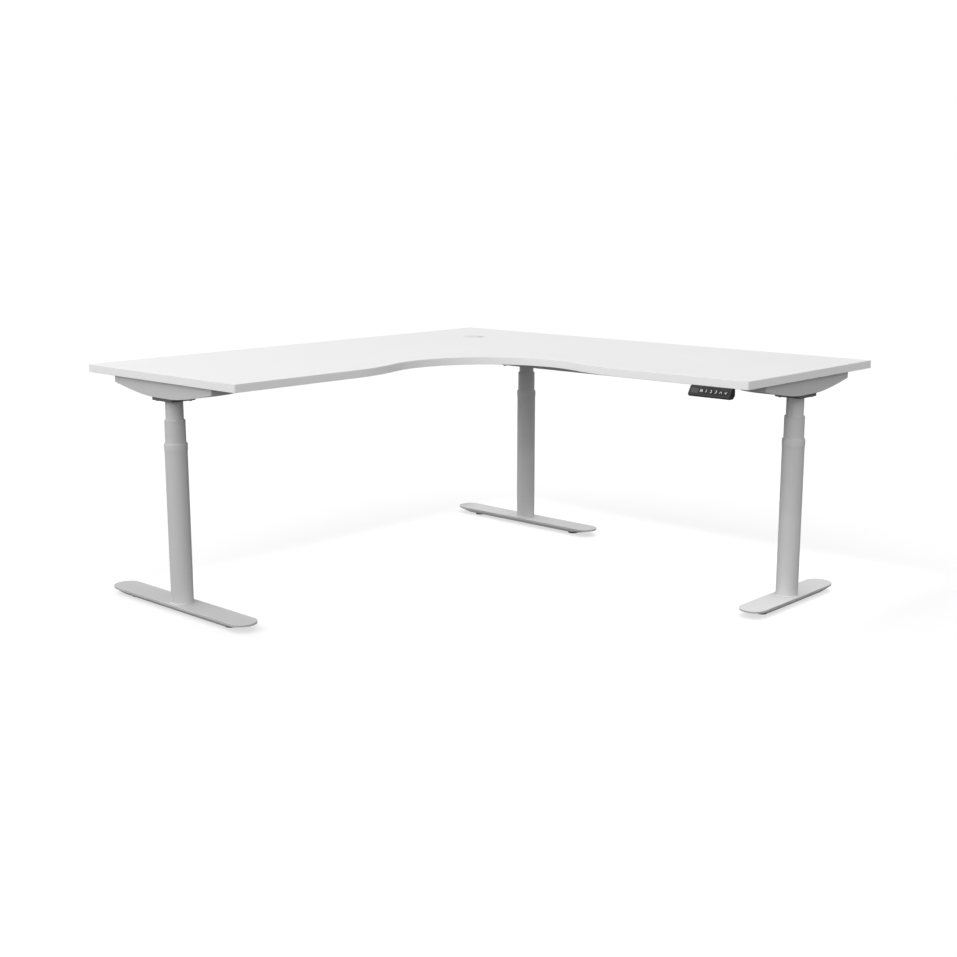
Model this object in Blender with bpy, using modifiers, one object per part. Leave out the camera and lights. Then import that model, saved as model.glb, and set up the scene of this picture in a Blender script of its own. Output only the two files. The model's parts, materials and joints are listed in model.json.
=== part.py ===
"""Height adjustable corner desk on three telescopic legs.

Metres, +Z up. The origin is on the floor under the middle of the desktop. +X runs along the return
wing, -Y along the main wing, and both wings meet at the back corner (-X, +Y).
"""

import math

import bmesh
import bpy
from mathutils import Matrix, Vector

# Desktop
DESK_WIDTH = 1.800  # along X
DESK_LENGTH = 1.800  # along Y
MAIN_WING_DEPTH = 0.755
RETURN_WING_DEPTH = 0.755
DESK_HEIGHT = 0.757
TOP_THICKNESS = 0.025
EDGE_BAND = 0.0015
CORNER_RADIUS = 0.006
SCOOP_RADIUS = 0.320
SCOOP_OFFSET = 0.265  # scoop centre from the line of each wing's front edge
BLEND_RADIUS = 0.580

# Clearances
TOUCH = 0.0003  # between pieces that rest on or seat in each other
SLIDE = 0.0005  # each side of a piece that slides or turns in another

# Places of the legs
LEFT_LEG_INSET = 0.058  # column centre from the main wing's end
CORNER_LEG_INSET = 0.080  # from the back edge
RIGHT_LEG_INSET = 0.060  # from the return wing's end

# Feet and levelling glides
MAIN_FOOT_LENGTH = 0.695
RETURN_FOOT_LENGTH = 0.490
FOOT_WIDTH = 0.090
FOOT_THICKNESS = 0.018
FOOT_RIM = 0.0065  # straight edge under the top face
FOOT_TAPER = 0.050  # how far the underside stops short of each tip
FOOT_SIDE_DRAFT = 0.009  # how far the underside stands in from each side
FOOT_EDGE_RADIUS = 0.0015
FOOT_WALL = 0.016
FOOT_PLATE = 0.005  # thickness over the weight-saving pockets
COLUMN_SEAT = 0.080  # solid length of the foot under the column
GLIDE_HEIGHT = 0.010
GLIDE_RADIUS = 0.019
GLIDE_NECK_RADIUS = 0.015
MAIN_GLIDE_INSET = 0.1025  # glide centre from the foot's tip
RETURN_GLIDE_INSET = 0.094
GLIDE_BOSS = 0.060  # solid length of the foot around each glide
STUD_RADIUS = 0.005
STUD_LENGTH = 0.014

# Columns, three stages of round tube
OUTER_RADIUS = 0.035
TUBE_WALL = 0.002
MIDDLE_ROUND_GAP = 0.001  # between the middle tube and the outer one
INNER_ROUND_GAP = 0.0025
INNER_SHOWN = 0.062  # how much of the inner tube shows at rest
MIDDLE_SHOWN = 0.0725
MIDDLE_ROOM = 0.107  # from the foot up to the middle tube, at rest
INNER_ROOM = 0.066  # from the middle tube's lower end up to the inner tube's, at rest
COLLAR_LIP = 0.0035
COLLAR_SKIRT = 0.0008
COLLAR_HEIGHT = 0.022

# Drive
SCREW_RADIUS = 0.007
SCREW_ROOM = 0.065  # from the middle tube's lower end up to the screw's, at rest
SCREW_HEAD_DEPTH = 0.028  # screw end above the underside of the gearbox flange
NUT_TUBE_RADIUS = 0.012
NUT_TUBE_SHORT = 0.130  # how far the nut tube stops below the middle tube's upper end
NUT_BASE = 0.0035
HEAD_FLANGE = 0.009
HEAD_FLANGE_LENGTH = 0.100
GEARBOX_LENGTH = 0.080
GEARBOX_WIDTH = 0.066
HEAD_SPIGOT = 0.024
MOTOR_RADIUS = 0.0165
MOTOR_LENGTH = 0.095

# Arms that carry the top
ARM_LENGTH = 0.500
ARM_WIDTH = 0.092
ARM_DEPTH = 0.051
ARM_TIP_DEPTH = 0.021
ARM_CORNER_RADIUS = 0.006
ARM_KEEL = 0.100  # flat length under the middle
ARM_SWEEP = 1.45  # how the underside rises from the keel to the tips
ARM_STATIONS = 6
ARM_WALL = 0.0025

# Rails
RAIL_WIDTH = 0.030
RAIL_WALL = 0.002
RAIL_RADIUS = 0.004
MAIN_RAIL_HEIGHT = 0.040
MAIN_RAIL_SPREAD = 0.100  # over the outside of the pair
RETURN_RAIL_HEIGHT = 0.045
RETURN_RAIL_SPREAD = 0.180
BRACKET_THICKNESS = 0.004
BRACKET_MARGIN = 0.020  # bracket beyond each rail

# Cable grommet
GROMMET_INSET = 0.288  # centre from both back edges
GROMMET_HOLE_RADIUS = 0.037
GROMMET_FLANGE_RADIUS = 0.0425
GROMMET_FLANGE = 0.0025  # depth of its seat in the board
GROMMET_PROUD = 0.0005
GROMMET_EDGE = 0.0008  # rounding of its top edges
GROMMET_WALL = 0.002
GROMMET_SLEEVE_LENGTH = 0.022
GROMMET_CAP_DEPTH = 0.008
GROMMET_CAP_WALL = 0.002
CABLE_SLOT_WIDTH = 0.022
CABLE_SLOT_REACH = 0.014  # how near the slot comes to the cap's centre

# Handset
HANDSET_END_INSET = 0.0515  # from the return wing's end
HANDSET_WIDTH = 0.145
HANDSET_HEIGHT = 0.032
HANDSET_DEPTH = 0.014  # behind the desktop's edge
PANEL_TOP_REACH = 0.002  # panel's top edge in front of the desktop's edge
PANEL_REACH = 0.019  # panel's bottom edge in front of the desktop's edge
PANEL_DROP = 0.0275
HEEL_CUT = 0.010  # cut corner along the housing's lower back edge
HANDSET_WALL = 0.002
FASCIA_THICKNESS = 0.002
FASCIA_CORNER = 0.004
BUTTON_COUNT = 6
BUTTON_PITCH = 0.0169
BUTTON_WIDTH = 0.0135
BUTTON_HEIGHT = 0.0130
BUTTON_PROUD = 0.0010
BUTTON_BODY = 0.0032
FIRST_BUTTON = 0.0436  # centre of the first button from the handset's left end
BOARD_THICKNESS = 0.0016

# Control box
CONTROL_LENGTH = 0.260
CONTROL_WIDTH = 0.100
CONTROL_HEIGHT = 0.036
CONTROL_WALL = 0.0025
CONTROL_LID = 0.003
CONTROL_FROM_CORNER_LEG = 0.720  # box centre from the corner column, along X
CONTROL_BEHIND_RAIL = 0.030
INLET_WIDTH = 0.027
INLET_HEIGHT = 0.019
SOCKET_WIDTH = 0.013
SOCKET_HEIGHT = 0.009
SOCKET_PITCH = 0.030
MOTOR_SOCKETS = 3

TUBE_STEPS = 32
SMALL_ROUND_STEPS = 20
CORNER_STEPS = 5  # segments in a quarter turn of a lofted outline

MIDDLE_RADIUS = OUTER_RADIUS - TUBE_WALL - MIDDLE_ROUND_GAP
INNER_RADIUS = MIDDLE_RADIUS - TUBE_WALL - INNER_ROUND_GAP
UNDERSIDE = DESK_HEIGHT - TOP_THICKNESS
MAIN_EDGE = -DESK_WIDTH / 2 + MAIN_WING_DEPTH
RETURN_EDGE = DESK_LENGTH / 2 - RETURN_WING_DEPTH
MAIN_LINE = -DESK_WIDTH / 2 + MAIN_WING_DEPTH / 2
RETURN_LINE = DESK_LENGTH / 2 - RETURN_WING_DEPTH / 2
FOOT_TOP = GLIDE_HEIGHT + FOOT_THICKNESS
ARM_TOP = UNDERSIDE - TOUCH
HEAD_TOP = UNDERSIDE - ARM_DEPTH - TOUCH
HEAD_BOTTOM = HEAD_TOP - HEAD_FLANGE
MIDDLE_TOP = HEAD_BOTTOM - INNER_SHOWN  # top of the collar in the middle tube, at rest
OUTER_TOP = MIDDLE_TOP - MIDDLE_SHOWN  # top of the collar on the outer tube, at rest
MIDDLE_LOW = FOOT_TOP + MIDDLE_ROOM


def clear_scene():
    for thing in list(bpy.data.objects):
        bpy.data.objects.remove(thing, do_unlink=True)


def new_collection(name):
    group = bpy.data.collections.new(name)
    bpy.context.scene.collection.children.link(group)
    return group


def new_material(name, color, roughness, metallic=0.0):
    finish = bpy.data.materials.new(name)
    finish.use_nodes = True
    shader = finish.node_tree.nodes["Principled BSDF"]
    shader.inputs["Base Color"].default_value = (*color, 1)
    shader.inputs["Roughness"].default_value = roughness
    shader.inputs["Metallic"].default_value = metallic
    return finish


clear_scene()
DESK = new_collection("corner_standing_desk")
CUTTERS = new_collection("cutters")
CUTTERS.hide_render = True

WHITE_BOARD = new_material("white_board", (0.86, 0.86, 0.85), 0.45)
WHITE_EDGE = new_material("white_edge", (0.85, 0.85, 0.84), 0.40)
WHITE_PAINT = new_material("white_paint", (0.82, 0.82, 0.81), 0.42)
WHITE_PLASTIC = new_material("white_plastic", (0.84, 0.84, 0.83), 0.35)
BLACK_PLASTIC = new_material("black_plastic", (0.02, 0.02, 0.02), 0.40)
BLACK_GLOSS = new_material("black_gloss", (0.01, 0.01, 0.012), 0.12)
DARK_CASTING = new_material("dark_casting", (0.10, 0.10, 0.105), 0.50, 0.6)
RUBBER = new_material("glide_rubber", (0.015, 0.015, 0.015), 0.70)
STEEL = new_material("screw_steel", (0.55, 0.55, 0.56), 0.28, 1.0)
BUSH_PLASTIC = new_material("bush_plastic", (0.70, 0.70, 0.69), 0.50)
CIRCUIT_BOARD = new_material("circuit_board", (0.03, 0.16, 0.07), 0.45)


def empty_at(name, place, turn=0.0, parent=None, tilt=0.0):
    """An empty for others to hang on: tilt turns it about X first, then turn about Z."""
    holder = bpy.data.objects.new(name, None)
    holder.location = place
    holder.rotation_euler = (tilt, 0, turn)
    holder.parent = parent
    DESK.objects.link(holder)
    return holder


def node_from_mesh(name, mesh, finish, place=(0, 0, 0), parent=None, group=None):
    """Makes a named object of a mesh. Without a finish it is a cutter."""
    thing = bpy.data.objects.new(name, mesh)
    thing.location = place
    thing.parent = parent
    (group or DESK).objects.link(thing)
    if finish:
        mesh.materials.append(finish)
        mesh.shade_smooth()
        mesh.set_sharp_from_angle(angle=math.radians(30))
    else:
        thing.hide_render = True
        thing.display_type = "WIRE"
    return thing


def mesh_from(name, build):
    """A mesh filled by a function that takes a bmesh."""
    shape = bmesh.new()
    build(shape)
    mesh = bpy.data.meshes.new(name)
    shape.to_mesh(mesh)
    shape.free()
    return mesh


def box(name, size, finish=None, place=(0, 0, 0), parent=None, round_edge=0.0):
    """A block about its own centre, with rounded edges if asked."""

    def build(shape):
        bmesh.ops.create_cube(shape, size=1.0, matrix=Matrix.Diagonal((*size, 1)))

    thing = node_from_mesh(name, mesh_from(name, build), finish, place, parent, None if finish else CUTTERS)
    if round_edge:
        bevel = thing.modifiers.new("rounded_edges", "BEVEL")
        bevel.width = round_edge
        bevel.segments = 2
    return thing


def cylinder(name, radius, length, finish=None, place=(0, 0, 0), parent=None, steps=SMALL_ROUND_STEPS, turn=None):
    """A round bar about its own centre, along Z unless turned."""

    def build(shape):
        bmesh.ops.create_cone(
            shape, cap_ends=True, segments=steps, radius1=radius, radius2=radius, depth=length,
            matrix=turn or Matrix(),
        )

    return node_from_mesh(name, mesh_from(name, build), finish, place, parent, None if finish else CUTTERS)


def turned(name, profile, finish, place=(0, 0, 0), parent=None, steps=TUBE_STEPS, closed=True):
    """A profile of (radius, height) points spun about Z. It runs down its outer side."""
    mesh = bpy.data.meshes.new(name)
    edges = [(i, i + 1) for i in range(len(profile) - 1)]
    if closed:
        edges.append((len(profile) - 1, 0))
    mesh.from_pydata([(radius, 0, height) for radius, height in profile], edges, [])
    thing = node_from_mesh(name, mesh, finish, place, parent)
    spin = thing.modifiers.new("spin", "SCREW")
    spin.steps = spin.render_steps = steps
    spin.use_merge_vertices = True
    spin.merge_threshold = 0.0001
    spin.use_smooth_shade = True
    return thing


def tube(name, radius, wall, low, high, finish, parent):
    """A plain round tube between two heights."""
    profile = [(radius, high), (radius, low), (radius - wall, low), (radius - wall, high)]
    return turned(name, profile, finish, parent=parent)


def plate(name, outlines, thickness, finish, place=(0, 0, 0), turn=(0, 0, 0), parent=None, round_edge=0.0):
    """A flat 2D outline, with any further outlines as holes, given a thickness about its own plane."""
    curve = bpy.data.curves.new(name, "CURVE")
    curve.dimensions = "2D"
    curve.fill_mode = "BOTH"
    curve.extrude = thickness / 2
    for outline in outlines:
        spline = curve.splines.new("POLY")
        spline.points.add(len(outline) - 1)
        for point, (x, y) in zip(spline.points, outline):
            point.co = (x, y, 0, 1)
        spline.use_cyclic_u = True
    curve.materials.append(finish)
    thing = bpy.data.objects.new(name, curve)
    thing.location = place
    thing.rotation_euler = turn
    thing.parent = parent
    DESK.objects.link(thing)
    if round_edge:
        weld = thing.modifiers.new("weld_caps", "WELD")
        weld.merge_threshold = 0.00001
        bevel = thing.modifiers.new("rounded_edges", "BEVEL")
        bevel.width = round_edge
        bevel.segments = 2
        bevel.limit_method = "ANGLE"
        bevel.angle_limit = math.radians(50)
    return thing


def as_mesh(thing):
    """A curve's shape as a mesh object of the same name, so that a Boolean can cut it."""
    bpy.context.view_layer.update()
    mesh = bpy.data.meshes.new_from_object(thing.evaluated_get(bpy.context.evaluated_depsgraph_get()))
    shape = bmesh.new()
    shape.from_mesh(mesh)
    bmesh.ops.remove_doubles(shape, verts=shape.verts, dist=0.00001)
    bmesh.ops.recalc_face_normals(shape, faces=shape.faces)
    shape.to_mesh(mesh)
    shape.free()
    name, place, group = thing.name, thing.matrix_world.copy(), thing.users_collection[0]
    finish = thing.data.materials[0]
    bpy.data.objects.remove(thing, do_unlink=True)
    mesh.materials.clear()
    solid = node_from_mesh(name, mesh, finish, group=group)
    solid.matrix_world = place
    return solid


def prism(name, outline, length, finish=None, place=(0, 0, 0), parent=None):
    """An outline of (y, z) points given a length along X, about its own middle."""

    def build(shape):
        ring = [shape.verts.new((-length / 2, y, z)) for y, z in outline]
        face = shape.faces.new(ring)
        swept = bmesh.ops.extrude_face_region(shape, geom=[face])["geom"]
        ends = [item for item in swept if isinstance(item, bmesh.types.BMVert)]
        bmesh.ops.translate(shape, verts=ends, vec=(length, 0, 0))
        bmesh.ops.recalc_face_normals(shape, faces=shape.faces)

    return node_from_mesh(name, mesh_from(name, build), finish, place, parent, None if finish else CUTTERS)


def cut(target, cutter, operation="DIFFERENCE"):
    """Cuts, or joins, with a mesh that the build leaves out."""
    cutter.hide_render = True
    cutter.display_type = "WIRE"
    step = target.modifiers.new(cutter.name, "BOOLEAN")
    step.operation = operation
    step.object = cutter
    step.solver = "EXACT"


def arc(centre, radius, start, end, steps):
    """Points of an arc, in degrees, both ends included."""
    turns = [math.radians(start + (end - start) * i / steps) for i in range(steps + 1)]
    return [(centre[0] + radius * math.cos(t), centre[1] + radius * math.sin(t)) for t in turns]


def rounded_rectangle(half_x, half_y, radius, steps=CORNER_STEPS):
    """A rectangle with round corners, counter-clockwise, always with the same number of points."""
    radius = min(radius, half_x, half_y)
    points = []
    for turn, (sx, sy) in enumerate(((1, 1), (-1, 1), (-1, -1), (1, -1))):
        centre = (sx * (half_x - radius), sy * (half_y - radius))
        points += arc(centre, radius, 90 * turn, 90 * turn + 90, steps)
    return points


def loft(name, sections, finish, parent=None, closed_loop=False, place=(0, 0, 0)):
    """A body over stacked sections, each (half length, half width, corner radius, height), listed from the
    top down. Its ends are capped, or joined to each other when the sections go round a wall."""

    def build(shape):
        rings = []
        for half_length, half_width, radius, height in sections:
            outline = rounded_rectangle(half_length, half_width, radius)
            rings.append([shape.verts.new((x, y, height)) for x, y in outline])
        pairs = list(zip(rings, rings[1:]))
        if closed_loop:
            pairs.append((rings[-1], rings[0]))
        else:
            shape.faces.new(rings[0])
            shape.faces.new(reversed(rings[-1]))
        for upper, lower in pairs:
            for i in range(len(upper)):
                j = (i + 1) % len(upper)
                shape.faces.new((upper[i], lower[i], lower[j], upper[j]))
        bmesh.ops.remove_doubles(shape, verts=shape.verts, dist=0.00001)
        bmesh.ops.recalc_face_normals(shape, faces=shape.faces)

    return node_from_mesh(name, mesh_from(name, build), finish, place, parent)


def desk_outline(inset=0.0):
    """The L-shaped top, counter-clockwise, pulled in all round by inset."""
    low_x = -DESK_WIDTH / 2 + inset
    high_x = DESK_WIDTH / 2 - inset
    low_y = -DESK_LENGTH / 2 + inset
    high_y = DESK_LENGTH / 2 - inset
    corner = CORNER_RADIUS - inset
    scoop = Vector((MAIN_EDGE + SCOOP_OFFSET, RETURN_EDGE - SCOOP_OFFSET))
    reach = math.sqrt((SCOOP_RADIUS + BLEND_RADIUS) ** 2 - (SCOOP_OFFSET + BLEND_RADIUS) ** 2)
    swing = math.degrees(math.atan2(reach, SCOOP_OFFSET + BLEND_RADIUS))
    main_blend = (MAIN_EDGE - BLEND_RADIUS, scoop.y - reach)
    return_blend = (scoop.x + reach, RETURN_EDGE + BLEND_RADIUS)

    def outer(x, y, start):
        centre = (x - math.copysign(corner, x - middle_x), y - math.copysign(corner, y - middle_y))
        return arc(centre, corner, start, start + 90, 3)

    points = []
    middle_x, middle_y = (low_x + MAIN_EDGE) / 2, 0
    points += outer(low_x, low_y, 180)
    points += outer(MAIN_EDGE - inset, low_y, 270)
    points += arc(main_blend, BLEND_RADIUS - inset, 0, swing, 5)
    points += arc(scoop, SCOOP_RADIUS + inset, 180 + swing, 90 - swing, 22)[1:-1]
    points += arc(return_blend, BLEND_RADIUS - inset, 270 - swing, 270, 5)
    middle_x, middle_y = 0, (high_y + RETURN_EDGE) / 2
    points += outer(high_x, RETURN_EDGE + inset, 270)
    points += outer(high_x, high_y, 0)
    points += outer(low_x, high_y, 90)
    return points


def build_top():
    """The board with its edge band, and the cable grommet let into its back corner."""
    middle = UNDERSIDE + TOP_THICKNESS / 2
    grommet = (-DESK_WIDTH / 2 + GROMMET_INSET, DESK_LENGTH / 2 - GROMMET_INSET)
    hole = arc(grommet, GROMMET_HOLE_RADIUS, 0, 360, TUBE_STEPS)[:-1]
    core = desk_outline(EDGE_BAND + TOUCH)
    board = as_mesh(plate("desktop", [core, hole], TOP_THICKNESS, WHITE_BOARD, (0, 0, middle)))
    seat = cylinder(
        "grommet_seat_cutter", GROMMET_FLANGE_RADIUS + SLIDE, 2 * GROMMET_FLANGE,
        place=(*grommet, DESK_HEIGHT), steps=TUBE_STEPS,
    )
    cut(board, seat)
    plate("edge_band", [desk_outline(), desk_outline(EDGE_BAND)], TOP_THICKNESS, WHITE_EDGE, (0, 0, middle))

    sleeve = GROMMET_HOLE_RADIUS - TOUCH
    bore = sleeve - GROMMET_WALL
    above = GROMMET_PROUD
    below = TOUCH - GROMMET_FLANGE
    ledge = bore - GROMMET_WALL
    ledge_top = above - GROMMET_CAP_DEPTH
    place = (*grommet, DESK_HEIGHT)
    turned(
        "grommet_sleeve",
        [
            (GROMMET_FLANGE_RADIUS - GROMMET_EDGE, above),
            (GROMMET_FLANGE_RADIUS, above - GROMMET_EDGE),
            (GROMMET_FLANGE_RADIUS, below),
            (sleeve, below),
            (sleeve, above - GROMMET_SLEEVE_LENGTH),
            (ledge, above - GROMMET_SLEEVE_LENGTH),
            (ledge, ledge_top),
            (bore, ledge_top),
            (bore, above),
        ],
        WHITE_PLASTIC, place,
    )
    cap_radius = bore - SLIDE
    cap_inner = cap_radius - GROMMET_CAP_WALL
    cap = turned(
        "grommet_cap",
        [
            (0, above),
            (cap_radius - GROMMET_EDGE, above),
            (cap_radius, above - GROMMET_EDGE),
            (cap_radius, ledge_top + TOUCH),
            (cap_inner, ledge_top + TOUCH),
            (cap_inner, above - GROMMET_CAP_WALL),
            (0, above - GROMMET_CAP_WALL),
        ],
        WHITE_PLASTIC, place, closed=False,
    )
    slot_length = cap_radius * 2 - CABLE_SLOT_REACH
    slot = box("cable_slot_cutter", (slot_length, CABLE_SLOT_WIDTH, 4 * GROMMET_CAP_DEPTH), round_edge=0.003)
    along = CABLE_SLOT_REACH + slot_length / 2
    slot.location = (grommet[0] + along * math.sqrt(0.5), grommet[1] + along * math.sqrt(0.5), DESK_HEIGHT)
    slot.rotation_euler = (0, 0, math.radians(45))
    cut(cap, slot)


def build_foot(side, length, glide_inset, parent):
    """A long foot with round tips: its underside tapers up to a rim, and pockets lighten it."""
    half_length, half_width = length / 2, FOOT_WIDTH / 2
    edge = FOOT_EDGE_RADIUS
    low_half = half_width - FOOT_SIDE_DRAFT
    foot = loft(
        f"{side}_foot",
        [
            (half_length - edge, half_width - edge, half_width - edge, FOOT_TOP),
            (half_length, half_width, half_width, FOOT_TOP - edge),
            (half_length, half_width, half_width, FOOT_TOP - FOOT_RIM),
            (half_length - FOOT_TAPER, low_half, low_half, GLIDE_HEIGHT),
        ],
        WHITE_PAINT, parent,
    )
    glide_at = half_length - glide_inset
    inner_end = COLUMN_SEAT / 2
    outer_end = glide_at - GLIDE_BOSS / 2
    pocket_depth = FOOT_THICKNESS - FOOT_PLATE
    for end, sign in (("front", 1), ("rear", -1)):
        size = (outer_end - inner_end, FOOT_WIDTH - 2 * FOOT_WALL, 2 * pocket_depth)
        middle = (sign * (outer_end + inner_end) / 2, 0, GLIDE_HEIGHT)
        cut(foot, box(f"{side}_{end}_pocket_cutter", size, place=middle, parent=parent))
        hole_depth = STUD_LENGTH + SLIDE
        hole = cylinder(
            f"{side}_{end}_stud_cutter", STUD_RADIUS + SLIDE, 2 * hole_depth,
            place=(sign * glide_at, 0, GLIDE_HEIGHT), parent=parent,
        )
        cut(foot, hole)
        turned(
            f"{side}_{end}_glide",
            [
                (0, GLIDE_HEIGHT + STUD_LENGTH),
                (STUD_RADIUS, GLIDE_HEIGHT + STUD_LENGTH),
                (STUD_RADIUS, GLIDE_HEIGHT - TOUCH),
                (GLIDE_NECK_RADIUS, GLIDE_HEIGHT - TOUCH),
                (GLIDE_RADIUS, GLIDE_HEIGHT * 0.35),
                (GLIDE_RADIUS, GLIDE_HEIGHT * 0.1),
                (GLIDE_RADIUS - GLIDE_HEIGHT * 0.1, 0),
                (0, 0),
            ],
            RUBBER, (sign * glide_at, 0, 0), parent, SMALL_ROUND_STEPS, closed=False,
        )


def build_column(side, parent):
    """Three telescoping tubes, the collars that guide them, and the screw and nut tube inside."""
    tube(f"{side}_outer_tube", OUTER_RADIUS, TUBE_WALL, FOOT_TOP + TOUCH, OUTER_TOP - COLLAR_LIP - TOUCH, WHITE_PAINT, parent)
    skirt = OUTER_RADIUS + TOUCH
    outside = skirt + COLLAR_SKIRT
    guide = MIDDLE_RADIUS + SLIDE
    turned(
        f"{side}_outer_collar",
        [
            (outside - COLLAR_SKIRT / 2, OUTER_TOP),
            (outside, OUTER_TOP - COLLAR_SKIRT / 2),
            (outside, OUTER_TOP - COLLAR_HEIGHT),
            (skirt, OUTER_TOP - COLLAR_HEIGHT),
            (skirt, OUTER_TOP - COLLAR_LIP),
            (guide, OUTER_TOP - COLLAR_LIP),
            (guide, OUTER_TOP),
        ],
        WHITE_PLASTIC, parent=parent,
    )

    middle_bore = MIDDLE_RADIUS - TUBE_WALL
    tube(f"{side}_middle_tube", MIDDLE_RADIUS, TUBE_WALL, MIDDLE_LOW, MIDDLE_TOP - COLLAR_LIP - TOUCH, WHITE_PAINT, parent)
    guide = INNER_RADIUS + SLIDE
    turned(
        f"{side}_middle_collar",
        [
            (MIDDLE_RADIUS, MIDDLE_TOP),
            (MIDDLE_RADIUS, MIDDLE_TOP - COLLAR_LIP),
            (middle_bore - TOUCH, MIDDLE_TOP - COLLAR_LIP),
            (middle_bore - TOUCH, MIDDLE_TOP - COLLAR_HEIGHT),
            (guide, MIDDLE_TOP - COLLAR_HEIGHT),
            (guide, MIDDLE_TOP),
        ],
        WHITE_PLASTIC, parent=parent,
    )
    turned(
        f"{side}_nut_tube",
        [
            (NUT_TUBE_RADIUS, MIDDLE_TOP - NUT_TUBE_SHORT),
            (NUT_TUBE_RADIUS, MIDDLE_LOW + NUT_BASE),
            (middle_bore - TOUCH, MIDDLE_LOW + NUT_BASE),
            (middle_bore - TOUCH, MIDDLE_LOW),
            (SCREW_RADIUS + SLIDE, MIDDLE_LOW),
            (SCREW_RADIUS + SLIDE, MIDDLE_TOP - NUT_TUBE_SHORT),
        ],
        BUSH_PLASTIC, parent=parent, steps=SMALL_ROUND_STEPS,
    )

    inner_low = MIDDLE_LOW + INNER_ROOM
    tube(f"{side}_inner_tube", INNER_RADIUS, TUBE_WALL, inner_low, HEAD_BOTTOM - TOUCH, WHITE_PAINT, parent)
    screw_top = HEAD_BOTTOM + SCREW_HEAD_DEPTH
    screw_low = MIDDLE_LOW + SCREW_ROOM
    turned(
        f"{side}_drive_screw",
        [
            (0, screw_top),
            (SCREW_RADIUS, screw_top),
            (SCREW_RADIUS, screw_low + SCREW_RADIUS / 2),
            (SCREW_RADIUS / 2, screw_low),
            (0, screw_low),
        ],
        STEEL, parent=parent, steps=SMALL_ROUND_STEPS, closed=False,
    )


def arm_sections(wall):
    """Sections of the boat-shaped arm from its top to its keel, a wall's thickness inside its skin."""
    half_length, half_width = ARM_LENGTH / 2 - wall, ARM_WIDTH / 2 - wall
    radius = ARM_CORNER_RADIUS - wall
    sections = [(half_length, half_width, radius, ARM_TOP)]
    for i in range(ARM_STATIONS + 1):
        out = 1 - i / ARM_STATIONS
        reach = ARM_KEEL / 2 + (half_length - ARM_KEEL / 2) * out
        depth = ARM_DEPTH - (ARM_DEPTH - ARM_TIP_DEPTH) * out**ARM_SWEEP - wall
        sections.append((reach, half_width, radius, UNDERSIDE - depth))
    return sections


def build_head(side, parent):
    """The arm under the top, the gearbox that stands in it on the column, and its motor."""
    hole = (GEARBOX_LENGTH / 2 + TOUCH, GEARBOX_WIDTH / 2 + TOUCH, 0.001)
    outside = arm_sections(0)
    inside = arm_sections(ARM_WALL)
    inside[0] = (*inside[0][:3], ARM_TOP)
    wall = [(*hole, outside[-1][3]), (*hole, inside[-1][3])]
    loft(f"{side}_arm", outside + wall + inside[::-1], WHITE_PAINT, parent, closed_loop=True)

    block_top = ARM_TOP - ARM_WALL
    flange_middle = (0, 0, (HEAD_TOP + HEAD_BOTTOM) / 2)
    casting = box(
        f"{side}_gearbox", (HEAD_FLANGE_LENGTH, ARM_WIDTH, HEAD_FLANGE), DARK_CASTING, flange_middle, parent
    )
    block_size = (GEARBOX_LENGTH - 2 * TOUCH, GEARBOX_WIDTH - 2 * TOUCH, block_top - flange_middle[2])
    block_place = (0, 0, (block_top + flange_middle[2]) / 2)
    cut(casting, box(f"{side}_gearbox_block", block_size, place=block_place, parent=parent), "UNION")
    spigot_low = HEAD_BOTTOM - HEAD_SPIGOT
    spigot = cylinder(
        f"{side}_gearbox_spigot", INNER_RADIUS - TUBE_WALL - TOUCH, flange_middle[2] - spigot_low,
        place=(0, 0, (flange_middle[2] + spigot_low) / 2), parent=parent, steps=TUBE_STEPS,
    )
    cut(casting, spigot, "UNION")
    bore_top = HEAD_BOTTOM + SCREW_HEAD_DEPTH + SLIDE
    bore_low = spigot_low - SLIDE
    bore = cylinder(
        f"{side}_gearbox_bore", SCREW_RADIUS + SLIDE, bore_top - bore_low,
        place=(0, 0, (bore_top + bore_low) / 2), parent=parent,
    )
    cut(casting, bore)

    start = GEARBOX_LENGTH / 2 + TOUCH
    cylinder(
        f"{side}_motor", MOTOR_RADIUS, MOTOR_LENGTH, DARK_CASTING,
        (start + MOTOR_LENGTH / 2, 0, block_top - MOTOR_RADIUS), parent,
        turn=Matrix.Rotation(math.radians(90), 4, "Y"),
    )


def rail(name, height, length, place, turn):
    """A rectangular tube, open at both ends, along X before it is turned about Z."""
    outside = rounded_rectangle(height / 2, RAIL_WIDTH / 2, RAIL_RADIUS, 2)
    bore_radius = RAIL_RADIUS - RAIL_WALL
    inside = rounded_rectangle(height / 2 - RAIL_WALL, RAIL_WIDTH / 2 - RAIL_WALL, bore_radius, 2)
    plate(name, [outside, inside], length, WHITE_PAINT, place, (0, math.radians(90), turn))


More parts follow.
